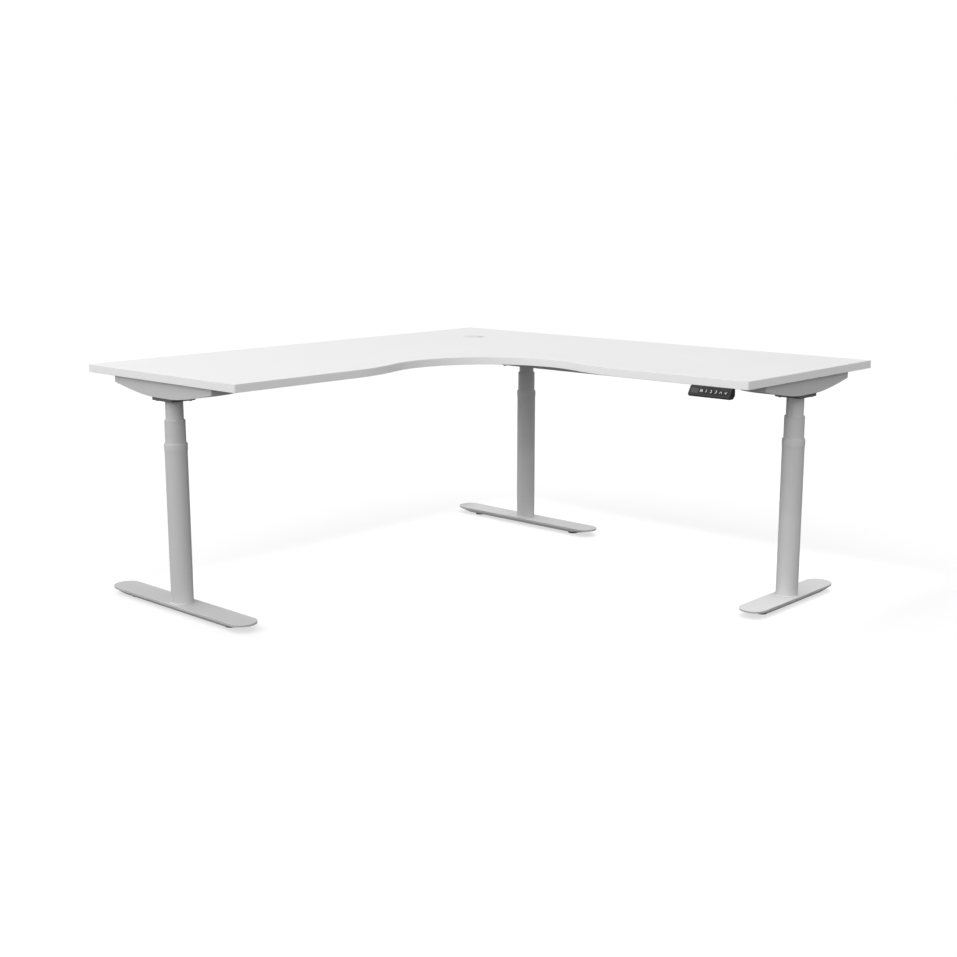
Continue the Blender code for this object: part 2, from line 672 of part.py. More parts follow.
def build_rails():
    """Two pairs of rails: between the main wing's legs, and from there to the return wing's leg."""
    low_end = -DESK_LENGTH / 2 + LEFT_LEG_INSET + ARM_WIDTH / 2 + TOUCH
    high_end = DESK_LENGTH / 2 - CORNER_LEG_INSET - ARM_WIDTH / 2 - TOUCH
    spread = (MAIN_RAIL_SPREAD - RAIL_WIDTH) / 2
    height = ARM_TOP - MAIN_RAIL_HEIGHT / 2
    for name, sign in (("main_rail_front", 1), ("main_rail_rear", -1)):
        place = (MAIN_LINE + sign * spread, (low_end + high_end) / 2, height)
        rail(name, MAIN_RAIL_HEIGHT, high_end - low_end, place, math.radians(90))

    bracket_low = MAIN_LINE + MAIN_RAIL_SPREAD / 2 + TOUCH
    low_end = bracket_low + BRACKET_THICKNESS + TOUCH
    high_end = DESK_WIDTH / 2 - RIGHT_LEG_INSET - ARM_WIDTH / 2 - TOUCH
    spread = (RETURN_RAIL_SPREAD - RAIL_WIDTH) / 2
    height = ARM_TOP - RETURN_RAIL_HEIGHT / 2
    for name, sign in (("return_rail_front", -1), ("return_rail_rear", 1)):
        place = ((low_end + high_end) / 2, RETURN_LINE + sign * spread, height)
        rail(name, RETURN_RAIL_HEIGHT, high_end - low_end, place, 0)
    size = (BRACKET_THICKNESS, RETURN_RAIL_SPREAD + 2 * BRACKET_MARGIN, MAIN_RAIL_HEIGHT)
    place = (bracket_low + BRACKET_THICKNESS / 2, RETURN_LINE, ARM_TOP - MAIN_RAIL_HEIGHT / 2)
    box("return_bracket", size, WHITE_PAINT, place, round_edge=0.0008)


def build_control_box():
    """A tray and lid under the top behind the return rails, with the board inside."""
    corner_x = MAIN_LINE
    place_x = corner_x + CONTROL_FROM_CORNER_LEG
    place_y = RETURN_LINE + RETURN_RAIL_SPREAD / 2 + CONTROL_BEHIND_RAIL + CONTROL_WIDTH / 2
    lid_top = ARM_TOP
    lid_bottom = lid_top - CONTROL_LID
    tray_top = lid_bottom - TOUCH
    tray_low = lid_top - CONTROL_HEIGHT
    tray_height = tray_top - tray_low
    holder = empty_at("control_box", (place_x, place_y, tray_low))

    size = (CONTROL_LENGTH, CONTROL_WIDTH, CONTROL_LID)
    box("control_box_lid", size, BLACK_PLASTIC, (0, 0, lid_bottom + CONTROL_LID / 2 - tray_low), holder)
    size = (CONTROL_LENGTH, CONTROL_WIDTH, tray_height)
    tray = box("control_box_tray", size, BLACK_PLASTIC, (0, 0, tray_height / 2), holder)
    inside = (CONTROL_LENGTH - 2 * CONTROL_WALL, CONTROL_WIDTH - 2 * CONTROL_WALL, tray_height)
    cut(tray, box("control_cavity", inside, place=(0, 0, tray_height / 2 + CONTROL_WALL), parent=holder))
    through = 4 * CONTROL_WALL
    size = (through, INLET_WIDTH, INLET_HEIGHT)
    place = (CONTROL_LENGTH / 2, 0, tray_height / 2)
    cut(tray, box("mains_inlet_cutter", size, place=place, parent=holder))
    for i in range(MOTOR_SOCKETS + 1):
        size = (through, SOCKET_WIDTH, SOCKET_HEIGHT)
        along = (i - MOTOR_SOCKETS / 2) * SOCKET_PITCH * 0.7
        place = (-CONTROL_LENGTH / 2, along, tray_height / 2)
        cut(tray, box(f"socket_cutter_{i + 1}", size, place=place, parent=holder))
    size = (inside[0] - 2 * SLIDE, inside[1] - 2 * SLIDE, BOARD_THICKNESS)
    box("control_board", size, CIRCUIT_BOARD, (0, 0, CONTROL_WALL + TOUCH + BOARD_THICKNESS / 2), holder)


def build_handset():
    """The handset under the return wing's front edge: a hollow housing behind a sloping panel of buttons."""
    middle_x = DESK_WIDTH / 2 - HANDSET_END_INSET - HANDSET_WIDTH / 2
    top = -TOUCH
    slope = Vector((0, -(PANEL_REACH - PANEL_TOP_REACH), -PANEL_DROP))
    panel_length = slope.length
    lean = math.atan2(PANEL_REACH - PANEL_TOP_REACH, PANEL_DROP)
    set_back = (FASCIA_THICKNESS + TOUCH) / math.cos(lean)
    holder = empty_at("handset", (middle_x, RETURN_EDGE, UNDERSIDE))
    low = -HANDSET_HEIGHT
    front = set_back - PANEL_REACH
    profile = [
        (HANDSET_DEPTH, top),
        (set_back - PANEL_TOP_REACH, top),
        (front, top - PANEL_DROP),
        (front + HANDSET_WALL, low),
        (HANDSET_DEPTH - HEEL_CUT, low),
        (HANDSET_DEPTH, low + HEEL_CUT),
    ]
    housing = prism("handset_housing", profile, HANDSET_WIDTH, BLACK_PLASTIC, parent=holder)
    inner_back = HANDSET_DEPTH - HANDSET_WALL
    inner_low = low + HANDSET_WALL
    profile = [
        (inner_back, top - HANDSET_WALL),
        (-PANEL_REACH, top - HANDSET_WALL),
        (-2 * PANEL_REACH, inner_low),
        (HANDSET_DEPTH - HEEL_CUT, inner_low),
        (inner_back, low + HEEL_CUT),
    ]
    cavity = prism("handset_cavity", profile, HANDSET_WIDTH - 2 * HANDSET_WALL, parent=holder)
    cut(housing, cavity)

    panel_middle = Vector((0, -PANEL_TOP_REACH, top)) + slope / 2
    panel = empty_at("handset_panel", panel_middle, parent=holder, tilt=math.radians(90) - lean)
    face_middle = -FASCIA_THICKNESS / 2
    outline = rounded_rectangle(HANDSET_WIDTH / 2, panel_length / 2, FASCIA_CORNER, 3)
    outlines = [outline]
    for i in range(BUTTON_COUNT):
        x = -HANDSET_WIDTH / 2 + FIRST_BUTTON + i * BUTTON_PITCH
        hole = rounded_rectangle(BUTTON_WIDTH / 2 + SLIDE, BUTTON_HEIGHT / 2 + SLIDE, 0.0020, 2)
        outlines.append([(x + hx, hy) for hx, hy in hole])
        height = BUTTON_BODY + BUTTON_PROUD
        box(
            f"button_{i + 1}", (BUTTON_WIDTH, BUTTON_HEIGHT, height), BLACK_PLASTIC,
            (x, 0, BUTTON_PROUD - height / 2), panel, round_edge=0.0006,
        )
    plate("handset_fascia", outlines, FASCIA_THICKNESS, BLACK_GLOSS, (0, 0, face_middle), parent=panel)
    board_width = HANDSET_WIDTH - 2 * HANDSET_WALL - 2 * SLIDE
    board_depth = -(BUTTON_BODY + 0.0018 + BOARD_THICKNESS / 2)
    size = (board_width, panel_length * 0.62, BOARD_THICKNESS)
    box("handset_board", size, CIRCUIT_BOARD, (0, 0, board_depth), panel)


def build_legs():
    """Left and corner legs stand across the main wing, and the right leg across the return wing."""
    main_foot = (MAIN_FOOT_LENGTH, MAIN_GLIDE_INSET)
    return_foot = (RETURN_FOOT_LENGTH, RETURN_GLIDE_INSET)
    legs = (
        ("left", (MAIN_LINE, -DESK_LENGTH / 2 + LEFT_LEG_INSET), 0, main_foot),
        ("corner", (MAIN_LINE, DESK_LENGTH / 2 - CORNER_LEG_INSET), 0, main_foot),
        ("right", (DESK_WIDTH / 2 - RIGHT_LEG_INSET, RETURN_LINE), -90, return_foot),
    )
    for side, place, turn, (foot_length, glide_inset) in legs:
        holder = empty_at(f"{side}_leg", (*place, 0), math.radians(turn))
        build_foot(side, foot_length, glide_inset, holder)
        build_column(side, holder)
        build_head(side, holder)


build_top()
build_rails()
build_legs()
build_control_box()
build_handset()
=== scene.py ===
"""Looks of the height adjustable corner desk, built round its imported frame.

Metres, +Z up, floor at z = 0. +X runs along the return wing and -Y along the main wing.
"""

import json
import math

import bmesh
import bpy
from mathutils import Matrix, Vector

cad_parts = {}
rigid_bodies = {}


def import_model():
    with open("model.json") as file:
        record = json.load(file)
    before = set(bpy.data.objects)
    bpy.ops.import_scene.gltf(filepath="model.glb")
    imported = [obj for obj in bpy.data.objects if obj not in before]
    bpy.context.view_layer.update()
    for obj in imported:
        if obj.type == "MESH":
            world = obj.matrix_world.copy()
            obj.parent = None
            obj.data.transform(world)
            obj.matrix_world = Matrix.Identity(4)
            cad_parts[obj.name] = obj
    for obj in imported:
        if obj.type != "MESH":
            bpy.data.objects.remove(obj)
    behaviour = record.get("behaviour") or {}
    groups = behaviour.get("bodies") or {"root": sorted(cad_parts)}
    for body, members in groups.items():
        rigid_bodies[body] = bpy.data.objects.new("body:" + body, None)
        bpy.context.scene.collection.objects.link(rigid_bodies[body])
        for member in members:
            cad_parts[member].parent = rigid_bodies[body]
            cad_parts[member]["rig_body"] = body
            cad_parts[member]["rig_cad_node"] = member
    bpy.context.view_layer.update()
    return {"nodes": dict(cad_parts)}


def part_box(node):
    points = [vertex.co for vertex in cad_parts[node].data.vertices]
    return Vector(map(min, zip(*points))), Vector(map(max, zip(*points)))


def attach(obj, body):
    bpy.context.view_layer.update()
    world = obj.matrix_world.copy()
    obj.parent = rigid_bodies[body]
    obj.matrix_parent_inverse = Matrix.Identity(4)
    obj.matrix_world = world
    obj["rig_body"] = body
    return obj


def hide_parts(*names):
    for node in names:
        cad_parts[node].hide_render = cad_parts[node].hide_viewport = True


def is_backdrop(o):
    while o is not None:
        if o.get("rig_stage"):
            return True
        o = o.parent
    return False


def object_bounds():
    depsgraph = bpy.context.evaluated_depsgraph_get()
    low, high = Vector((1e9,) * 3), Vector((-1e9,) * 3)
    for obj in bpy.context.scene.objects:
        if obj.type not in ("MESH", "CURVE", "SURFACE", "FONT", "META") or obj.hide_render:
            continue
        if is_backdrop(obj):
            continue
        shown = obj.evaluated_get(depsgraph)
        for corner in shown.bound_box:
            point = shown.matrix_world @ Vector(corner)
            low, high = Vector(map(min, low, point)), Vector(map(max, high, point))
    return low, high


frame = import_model()


# ---- Desktop board -------------------------------------------------------------------------------
# One L-shaped particle board, 25 mm thick, faced with white melamine. It is cut on a router, so its
# inner corner is one smooth curve. The return and main wings are as deep as each other.

WORKTOP = 0.757
BOARD_THICKNESS = 0.025
HALF_WIDTH = 0.900
MAIN_FRONT = -0.145  # front edge of the main wing
RETURN_FRONT = 0.145
OUTER_CORNER = 0.006
SCOOP = Vector((0.120, -0.120, WORKTOP))
SCOOP_RADIUS = 0.320
BLEND_RADIUS = 0.580
BAND = 0.0015  # thickness of the edge banding
GLUE_LINE = 0.00015
GROMMET = Vector((-0.612, 0.612, 0))
GROMMET_BORE = 0.037
GROMMET_SEAT = 0.0430
SEAT_DEPTH = 0.0025


def select_only(*pieces):
    """Leaves edit mode, and selects these pieces and nothing else. The first one is active."""
    if bpy.context.mode != "OBJECT":
        bpy.ops.object.mode_set(mode="OBJECT")
    bpy.ops.object.select_all(action="DESELECT")
    for piece in pieces:
        piece.select_set(True)
    if pieces:
        bpy.context.view_layer.objects.active = pieces[0]


def leave_edit():
    bpy.ops.object.mode_set(mode="OBJECT")


def reopen(piece):
    """Opens a piece for shaping again, selected all over."""
    select_only(piece)
    bpy.ops.object.mode_set(mode="EDIT")
    bpy.ops.mesh.select_all(action="SELECT")


def begin(name, kind, **sizes):
    """Adds a primitive at its size and place, puts both in its mesh, and opens it for shaping."""
    select_only()
    getattr(bpy.ops.mesh, f"primitive_{kind}_add")(**sizes)
    piece = bpy.context.object
    piece.name = piece.data.name = name
    bpy.ops.object.transform_apply(location=True, rotation=True, scale=True)
    bpy.ops.object.mode_set(mode="EDIT")
    bpy.ops.mesh.select_mode(type="VERT")
    bpy.ops.mesh.select_all(action="SELECT")
    return piece


def begin_outline(name, place):
    """A plane drawn together to one point, from which line and arc draw an outline."""
    piece = begin(name, "plane", size=0.01, location=place)
    bpy.ops.mesh.merge(type="CENTER")
    return piece


def line(x, y, z=0):
    bpy.ops.mesh.extrude_vertices_move(TRANSFORM_OT_translate={"value": (x, y, z)})


def arc(centre, degrees, steps, axis=(0, 0, 1)):
    """Carries the outline round a centre, anticlockwise seen against the axis."""
    bpy.ops.mesh.spin(steps=steps, angle=-math.radians(degrees), center=centre, axis=axis)


def pick(piece, kind, test):
    """Selects the verts, edges or faces that pass a test, and nothing else."""
    modes = {"verts": "VERT", "edges": "EDGE", "faces": "FACE"}
    bpy.ops.mesh.select_mode(type=modes[kind])
    bpy.ops.mesh.select_all(action="DESELECT")
    shape = bmesh.from_edit_mesh(piece.data)
    for item in getattr(shape, kind):
        if test(item):
            item.select_set(True)
    shape.select_flush_mode()
    bmesh.update_edit_mesh(piece.data)


def middle(item):
    """Middle of an edge or a face."""
    return sum((v.co for v in item.verts), Vector()) / len(item.verts)


def along(axis):
    """A test for edges that run along one axis."""
    return lambda edge: abs((edge.verts[1].co - edge.verts[0].co).normalized()[axis]) > 0.999


def extrude(x, y, z):
    bpy.ops.mesh.extrude_region_move(TRANSFORM_OT_translate={"value": (x, y, z)})


def block(name, size, place):
    return begin(name, "cube", size=1, scale=size, location=place)


def round_block(name, size, place, radius, segments, axis=2):
    """A block whose edges along one axis are rounded. It is left open for shaping."""
    piece = block(name, size, place)
    pick(piece, "edges", along(axis))
    bpy.ops.mesh.bevel(offset=radius, segments=segments)
    return piece


def step_in(piece, facing, border, rise):
    """Draws in the face that looks one way by a border, and raises it, or sinks it if rise is below 0."""
    facing = Vector(facing)
    pick(piece, "faces", lambda f: f.normal.dot(facing) > 0.9)
    bpy.ops.mesh.inset(thickness=border)
    extrude(*(facing * rise))


def close_up(merge=5e-6):
    """Merges doubles and turns all the faces outwards."""
    bpy.ops.mesh.select_all(action="SELECT")
    bpy.ops.mesh.remove_doubles(threshold=merge)
    bpy.ops.mesh.normals_make_consistent(inside=False)


def modify(piece, kind, **settings):
    """Adds a modifier and applies it."""
    select_only(piece)
    step = piece.modifiers.new(kind.lower(), kind)
    for setting, value in settings.items():
        setattr(step, setting, value)
    bpy.ops.object.modifier_apply(modifier=step.name)


def cut(piece, cutter, operation="DIFFERENCE"):
    """Cuts one piece with another, or joins them, and removes the second."""
    modify(piece, "BOOLEAN", object=cutter, operation=operation, solver="EXACT")
    bpy.data.objects.remove(cutter, do_unlink=True)


def rod(name, radius, length, place, steps=32):
    """An upright rod, whose middle is at a place."""
    return begin(name, "cylinder", vertices=steps, radius=radius, depth=length, location=place)


def drill(piece, radius, depth, place, steps=32):
    """Cuts an upright hole, whose middle is at a place."""
    cut(piece, rod("drill", radius, depth, place, steps))


def round_edges(piece, width, segments, angle):
    """Rounds the edges sharper than an angle."""
    limit = math.radians(angle)
    modify(piece, "BEVEL", width=width, segments=segments, limit_method="ANGLE", angle_limit=limit)


def soften(piece, width, segments=2, angle=40):
    """Rounds the sharp edges, then shades the piece smooth with its flat faces kept flat."""
    if width:
        round_edges(piece, width, segments, angle)
    select_only(piece)
    bpy.ops.object.shade_smooth_by_angle(angle=math.radians(35))
    modify(piece, "WEIGHTED_NORMAL", weight=50, keep_sharp=True)


def fit(piece, finish, body, slot, *nodes):
    """Gives a finished piece its material and its body, and hides the CAD nodes that it stands for."""
    piece.data.materials.clear()
    piece.data.materials.append(finish.material)
    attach(piece, body)
    if nodes:
        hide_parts(*nodes)


class Reading:
    """A value that changes over a surface. Sums written on it add the shader's Math nodes."""

    def __init__(self, finish, socket):
        self.finish = finish
        self.socket = socket

    def sum(self, operation, *terms):
        return self.finish.node("ShaderNodeMath", {"operation": operation}, dict(enumerate(terms)))

    def __add__(self, other):
        return self.sum("ADD", self, other)

    def __mul__(self, other):
        return self.sum("MULTIPLY", self, other)

    __radd__ = __add__
    __rmul__ = __mul__


class Finish:
    """A material for one of the desk's surfaces."""

    def __init__(self, name, color, roughness, metallic=0.0, specular=0.5):
        self.material = bpy.data.materials.new(name)
        self.material.use_nodes = True
        self.tree = self.material.node_tree
        self.shader = self.tree.nodes["Principled BSDF"]
        self.shader.inputs["Base Color"].default_value = (*color, 1)
        self.shader.inputs["Roughness"].default_value = roughness
        self.shader.inputs["Metallic"].default_value = metallic
        self.shader.inputs["Specular IOR Level"].default_value = specular
        self.place = self.node("ShaderNodeTexCoord", out="Object")

    def node(self, kind, settings=None, sockets=None, out=0):
        """Adds a node: its settings first, then its sockets' values or links."""
        made = self.tree.nodes.new(kind)
        for setting, value in (settings or {}).items():
            setattr(made, setting, value)
        for key, value in (sockets or {}).items():
            if isinstance(value, Reading):
                self.tree.links.new(value.socket, made.inputs[key])
            else:
                made.inputs[key].default_value = value
        return Reading(self, made.outputs[out])

    def noise(self, scale, detail=2.0, stretch=(1, 1, 1)):
        """Noise with about `scale` lumps to the metre, drawn out along an axis where stretch is small."""
        place = self.place
        if stretch != (1, 1, 1):
            place = self.node("ShaderNodeMapping", None, {"Vector": place, "Scale": stretch})
        return self.node("ShaderNodeTexNoise", None, {"Vector": place, "Scale": scale, "Detail": detail})

    def blend(self, share, first, second):
        """A colour between two others."""
        sockets = {"Factor": share, 6: (*first, 1), 7: (*second, 1)}
        return self.node("ShaderNodeMix", {"data_type": "RGBA"}, sockets, 2)

    def feed(self, socket, reading):
        self.tree.links.new(reading.socket, self.shader.inputs[socket])

    def relief(self, height, distance, strength=1.0):
        """Raises or sinks the surface by up to a distance."""
        sockets = {"Height": height, "Distance": distance, "Strength": strength}
        self.feed("Normal", self.node("ShaderNodeBump", None, sockets))


melamine = Finish("melamine_white", (0.865, 0.865, 0.863), 0.42, specular=0.45)
pearl = melamine.noise(1400, 3)
cloud = melamine.noise(2.2, 4)
melamine.feed("Base Color", melamine.blend(cloud, (0.85, 0.85, 0.848), (0.88, 0.88, 0.878)))
melamine.feed("Roughness", 0.36 + cloud * 0.06 + pearl * 0.10)
melamine.relief(pearl, 0.00003, 0.7)

start = (-HALF_WIDTH + OUTER_CORNER, -HALF_WIDTH, WORKTOP)
board_outline = begin_outline("edge_banding_strip", start)
reach = math.sqrt((SCOOP_RADIUS + BLEND_RADIUS) ** 2 - (SCOOP.x - MAIN_FRONT + BLEND_RADIUS) ** 2)
swing = math.degrees(math.atan2(reach, SCOOP.x - MAIN_FRONT + BLEND_RADIUS))
main_blend = Vector((MAIN_FRONT - BLEND_RADIUS, SCOOP.y - reach, WORKTOP))
return_blend = Vector((SCOOP.x + reach, RETURN_FRONT + BLEND_RADIUS, WORKTOP))
inward = HALF_WIDTH - OUTER_CORNER
line(MAIN_FRONT + HALF_WIDTH - 2 * OUTER_CORNER, 0)
arc((MAIN_FRONT - OUTER_CORNER, -inward, WORKTOP), 90, 6)
line(0, main_blend.y + inward)
arc(main_blend, swing, 24)
arc(SCOOP, -(90 + 2 * swing), 72)
arc(return_blend, swing, 24)
line(inward - return_blend.x, 0)
arc((inward, RETURN_FRONT + OUTER_CORNER, WORKTOP), 90, 6)
line(0, inward - RETURN_FRONT - OUTER_CORNER)
arc((inward, inward, WORKTOP), 90, 6)
line(-2 * inward, 0)
arc((-inward, inward, WORKTOP), 90, 6)
line(0, -2 * inward)
arc((-inward, -inward, WORKTOP), 90, 6)
close_up()
bpy.ops.mesh.edge_face_add()
bpy.ops.mesh.normals_make_consistent(inside=False)
bpy.ops.mesh.inset(thickness=BAND + GLUE_LINE)
bpy.ops.mesh.separate(type="SELECTED")
leave_edit()
board = next(o for o in bpy.context.selected_objects if o != board_outline)
board.name = board.data.name = "desktop_board"
reopen(board)
extrude(0, 0, -BOARD_THICKNESS)
close_up()
soften(board, 0.00025, 1, 60)
drill(board, GROMMET_BORE, 4 * BOARD_THICKNESS, (*GROMMET.xy, WORKTOP), 96)
drill(board, GROMMET_SEAT, 2 * SEAT_DEPTH, (*GROMMET.xy, WORKTOP), 96)
soften(board, 0)
fit(board, melamine, "top", "white_board", "desktop")


# ---- Edge banding --------------------------------------------------------------------------------
# A 1.5 mm strip of white ABS glued all round the board and trimmed with a small radius above and
# below. Its joint with the board shows as a hairline just inside the edge.

banding = Finish("edge_banding_white", (0.89, 0.89, 0.888), 0.35)
trim = banding.noise(500, 2, (1, 1, 0.05))
banding.feed("Base Color", banding.blend(banding.noise(3, 3), (0.88, 0.88, 0.878), (0.90, 0.90, 0.898)))
banding.feed("Roughness", 0.30 + trim * 0.12)
banding.relief(trim, 0.00002, 0.5)

reopen(board_outline)
extrude(0, 0, -BOARD_THICKNESS)
close_up()
leave_edit()
soften(board_outline, 0.0006, 3, 60)
fit(board_outline, banding, "top", "white_edge", "edge_band")


# ---- Cable grommet -------------------------------------------------------------------------------
# A white moulded sleeve pressed into the board's back corner, its flange let in almost flush, and a
# round cap that turns in it so that the cable slot faces the cables.

SLEEVE_TOP = WORKTOP + 0.0005
SLEEVE_RADIUS = 0.0367
FLANGE_RADIUS = 0.0425
FLANGE_SEAT = WORKTOP - 0.0022
SLEEVE_BORE = 0.0347
CAP_LEDGE = WORKTOP - 0.0075
LEDGE_BORE = 0.0327
SLEEVE_LOW = WORKTOP - 0.0215
CAP_RADIUS = 0.0342
CAP_WALL = 0.0020
SLOT_WIDTH = 0.022
SLOT_START = 0.014  # inner end of the slot, from the middle of the cap
CAP_PLAY = 0.0003


def turn(name, centre, profile, steps=72):
    """A closed ring of (radius, height) points turned about an upright line, as on a lathe."""
    piece = begin_outline(name, (centre[0] + profile[0][0], centre[1], profile[0][1]))
    for (radius, height), (next_radius, next_height) in zip(profile, profile[1:]):
        line(next_radius - radius, 0, next_height - height)
    if profile[0][0] > 0 or profile[-1][0] > 0:
        line(profile[0][0] - profile[-1][0], 0, profile[0][1] - profile[-1][1])
    bpy.ops.mesh.select_all(action="SELECT")
    bpy.ops.mesh.spin(steps=steps, angle=math.tau, center=(centre[0], centre[1], 0), axis=(0, 0, 1))
    close_up()
    return piece


moulding = Finish("moulded_white", (0.74, 0.74, 0.737), 0.34)
grain = moulding.noise(2600, 2)
moulding.feed("Base Color", moulding.blend(moulding.noise(6, 3), (0.72, 0.72, 0.717), (0.76, 0.76, 0.757)))
moulding.feed("Roughness", 0.28 + grain * 0.16)
moulding.relief(grain, 0.00002, 0.6)

sleeve = turn(
    "grommet_sleeve_moulding", GROMMET,
    [
        (FLANGE_RADIUS, SLEEVE_TOP), (FLANGE_RADIUS, FLANGE_SEAT), (SLEEVE_RADIUS, FLANGE_SEAT),
        (SLEEVE_RADIUS, SLEEVE_LOW), (LEDGE_BORE, SLEEVE_LOW), (LEDGE_BORE, CAP_LEDGE),
        (SLEEVE_BORE, CAP_LEDGE), (SLEEVE_BORE, SLEEVE_TOP),
    ],
    96,
)
soften(sleeve, 0.0004, 3)
fit(sleeve, moulding, "top", "white_plastic", "grommet_sleeve")

cap = turn(
    "grommet_cap_moulding", GROMMET,
    [
        (0, SLEEVE_TOP), (CAP_RADIUS, SLEEVE_TOP), (CAP_RADIUS, CAP_LEDGE + CAP_PLAY),
        (CAP_RADIUS - CAP_WALL, CAP_LEDGE + CAP_PLAY), (CAP_RADIUS - CAP_WALL, SLEEVE_TOP - CAP_WALL),
        (0, SLEEVE_TOP - CAP_WALL),
    ],
    96,
)
slot = round_block("slot", (0.060, SLOT_WIDTH, 0.06), (SLOT_START + 0.030, 0, 0), 0.008, 6)
leave_edit()
on_cap = Matrix.Translation((GROMMET.x, GROMMET.y, WORKTOP))
slot.data.transform(on_cap @ Matrix.Rotation(math.radians(45), 4, "Z"))
cut(cap, slot)
soften(cap, 0.0004, 3)
fit(cap, moulding, "cap", "white_plastic", "grommet_cap")


# ---- Outer, middle and inner tubes ---------------------------------------------------------------
# Each leg is a three-stage column of round steel tube, powder coated white. The outer tube is welded
# to the foot with a small fillet, and the inner tube carries the arm.

WALL = 0.002
SIDES = ("left", "corner", "right")
LEG_PLACES = {}
for side in SIDES:
    low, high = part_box(f"{side}_outer_tube")
    turn_by = -90 if side == "right" else 0
    upright = Matrix.Translation(((low.x + high.x) / 2, (low.y + high.y) / 2, 0))
    LEG_PLACES[side] = upright @ Matrix.Rotation(math.radians(turn_by), 4, "Z")


def span(node):
    """The lowest and highest z of a CAD node."""
    return [point.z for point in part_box(node)]


OUTER_LOW, OUTER_HIGH = span("left_outer_tube")
MIDDLE_LOW, MIDDLE_HIGH = span("left_middle_tube")
INNER_LOW, INNER_HIGH = span("left_inner_tube")
OUTER_COLLAR_LOW, OUTER_COLLAR_HIGH = span("left_outer_collar")
MIDDLE_COLLAR_LOW, MIDDLE_COLLAR_HIGH = span("left_middle_collar")
OUTER_TUBE, MIDDLE_TUBE, INNER_TUBE = 0.035, 0.032, 0.0275
WELD = 0.0040  # leg of the fillet weld


def copied(piece, name, place):
    """A copy with its own mesh, moved to a place."""
    copy = piece.copy()
    copy.data = piece.data.copy()
    copy.name = copy.data.name = name
    bpy.context.scene.collection.objects.link(copy)
    copy.data.transform(place)
    return copy


def for_each_leg(piece, finish, body, slot_name, node=None):
    """Copies a piece made at the origin to all three legs. {} stands for a leg's name."""
    for side in SIDES:
        copy = copied(piece, f"{side}_{piece.name}", LEG_PLACES[side])
        fit(copy, finish, body.format(side), slot_name, *([node.format(side)] if node else []))
    bpy.data.objects.remove(piece, do_unlink=True)


# The frame's paint is white, but its base colour is a mid grey: painted shade, standing in for the shade
# that falls on the frame under the board.
powder_painted_shade = Finish("powder_coat_white", (0.59, 0.59, 0.588), 0.42)
peel = powder_painted_shade.noise(520, 2)
speck = powder_painted_shade.noise(2400, 1)
powder_painted_shade.feed("Base Color", powder_painted_shade.blend(powder_painted_shade.noise(5, 4), (0.575, 0.575, 0.573), (0.605, 0.605, 0.603)))
powder_painted_shade.feed("Roughness", 0.34 + peel * 0.10 + speck * 0.06)
powder_painted_shade.relief(peel + speck * 0.4, 0.00006, 0.6)

outer_tube = turn(
    "outer_tube_steel", (0, 0),
    [
        (OUTER_TUBE, OUTER_HIGH), (OUTER_TUBE, OUTER_LOW + WELD),
        (OUTER_TUBE + 0.15 * WELD, OUTER_LOW + 0.55 * WELD),
        (OUTER_TUBE + 0.55 * WELD, OUTER_LOW + 0.15 * WELD), (OUTER_TUBE + WELD, OUTER_LOW),
        (OUTER_TUBE - WALL, OUTER_LOW), (OUTER_TUBE - WALL, OUTER_HIGH),
    ],
    96,
)
soften(outer_tube, 0.0004, 2, 60)
for_each_leg(outer_tube, powder_painted_shade, "base", "white_paint", "{}_outer_tube")

for stage, body, radius, low, high in (
    ("middle_tube", "{}_middle_stage", MIDDLE_TUBE, MIDDLE_LOW, MIDDLE_HIGH),
    ("inner_tube", "top", INNER_TUBE, INNER_LOW, INNER_HIGH),
):
    profile = [(radius, high), (radius, low), (radius - WALL, low), (radius - WALL, high)]
    stage_tube = turn(f"{stage}_steel", (0, 0), profile, 96)
    soften(stage_tube, 0.0004, 2)
    for_each_leg(stage_tube, powder_painted_shade, body, "white_paint", "{}_" + stage)


# ---- Guide collars -------------------------------------------------------------------------------
# Moulded white nylon collars that keep the stages from rattling. The lower one slips over the outer
# tube like a cuff. The upper one sits in the mouth of the middle tube, flush with it.

# The collars are white nylon, but their base colour is a mid grey like the frame's: painted shade for the
# shade under the board.
nylon_painted_shade = Finish("collar_nylon_white", (0.61, 0.61, 0.608), 0.40)
dapple = nylon_painted_shade.noise(700, 2)
nylon_painted_shade.feed("Base Color", nylon_painted_shade.blend(nylon_painted_shade.noise(12, 3), (0.60, 0.60, 0.598), (0.625, 0.625, 0.622)))
nylon_painted_shade.feed("Roughness", 0.36 + dapple * 0.10)
nylon_painted_shade.relief(dapple, 0.00003, 0.5)

COLLAR_SKIRT = 0.0361
COLLAR_LIP = 0.0035
SLIDING_GAP = 0.0005
lip = OUTER_COLLAR_HIGH - COLLAR_LIP
outer_collar = turn(
    "outer_collar_moulding", (0, 0),
    [
        (COLLAR_SKIRT - 0.0012, OUTER_COLLAR_HIGH), (COLLAR_SKIRT - 0.0005, OUTER_COLLAR_HIGH - 0.0006),
        (COLLAR_SKIRT, OUTER_COLLAR_HIGH - 0.0014), (COLLAR_SKIRT, OUTER_COLLAR_LOW + 0.0006),
        (COLLAR_SKIRT - 0.0004, OUTER_COLLAR_LOW), (OUTER_TUBE + 0.0003, OUTER_COLLAR_LOW),
        (OUTER_TUBE + 0.0003, lip), (MIDDLE_TUBE + SLIDING_GAP, lip),
        (MIDDLE_TUBE + SLIDING_GAP, OUTER_COLLAR_HIGH - 0.0005), (MIDDLE_TUBE + 0.0010, OUTER_COLLAR_HIGH),
    ],
    96,
)
soften(outer_collar, 0.0002, 2, 60)
for_each_leg(outer_collar, nylon_painted_shade, "base", "white_plastic", "{}_outer_collar")

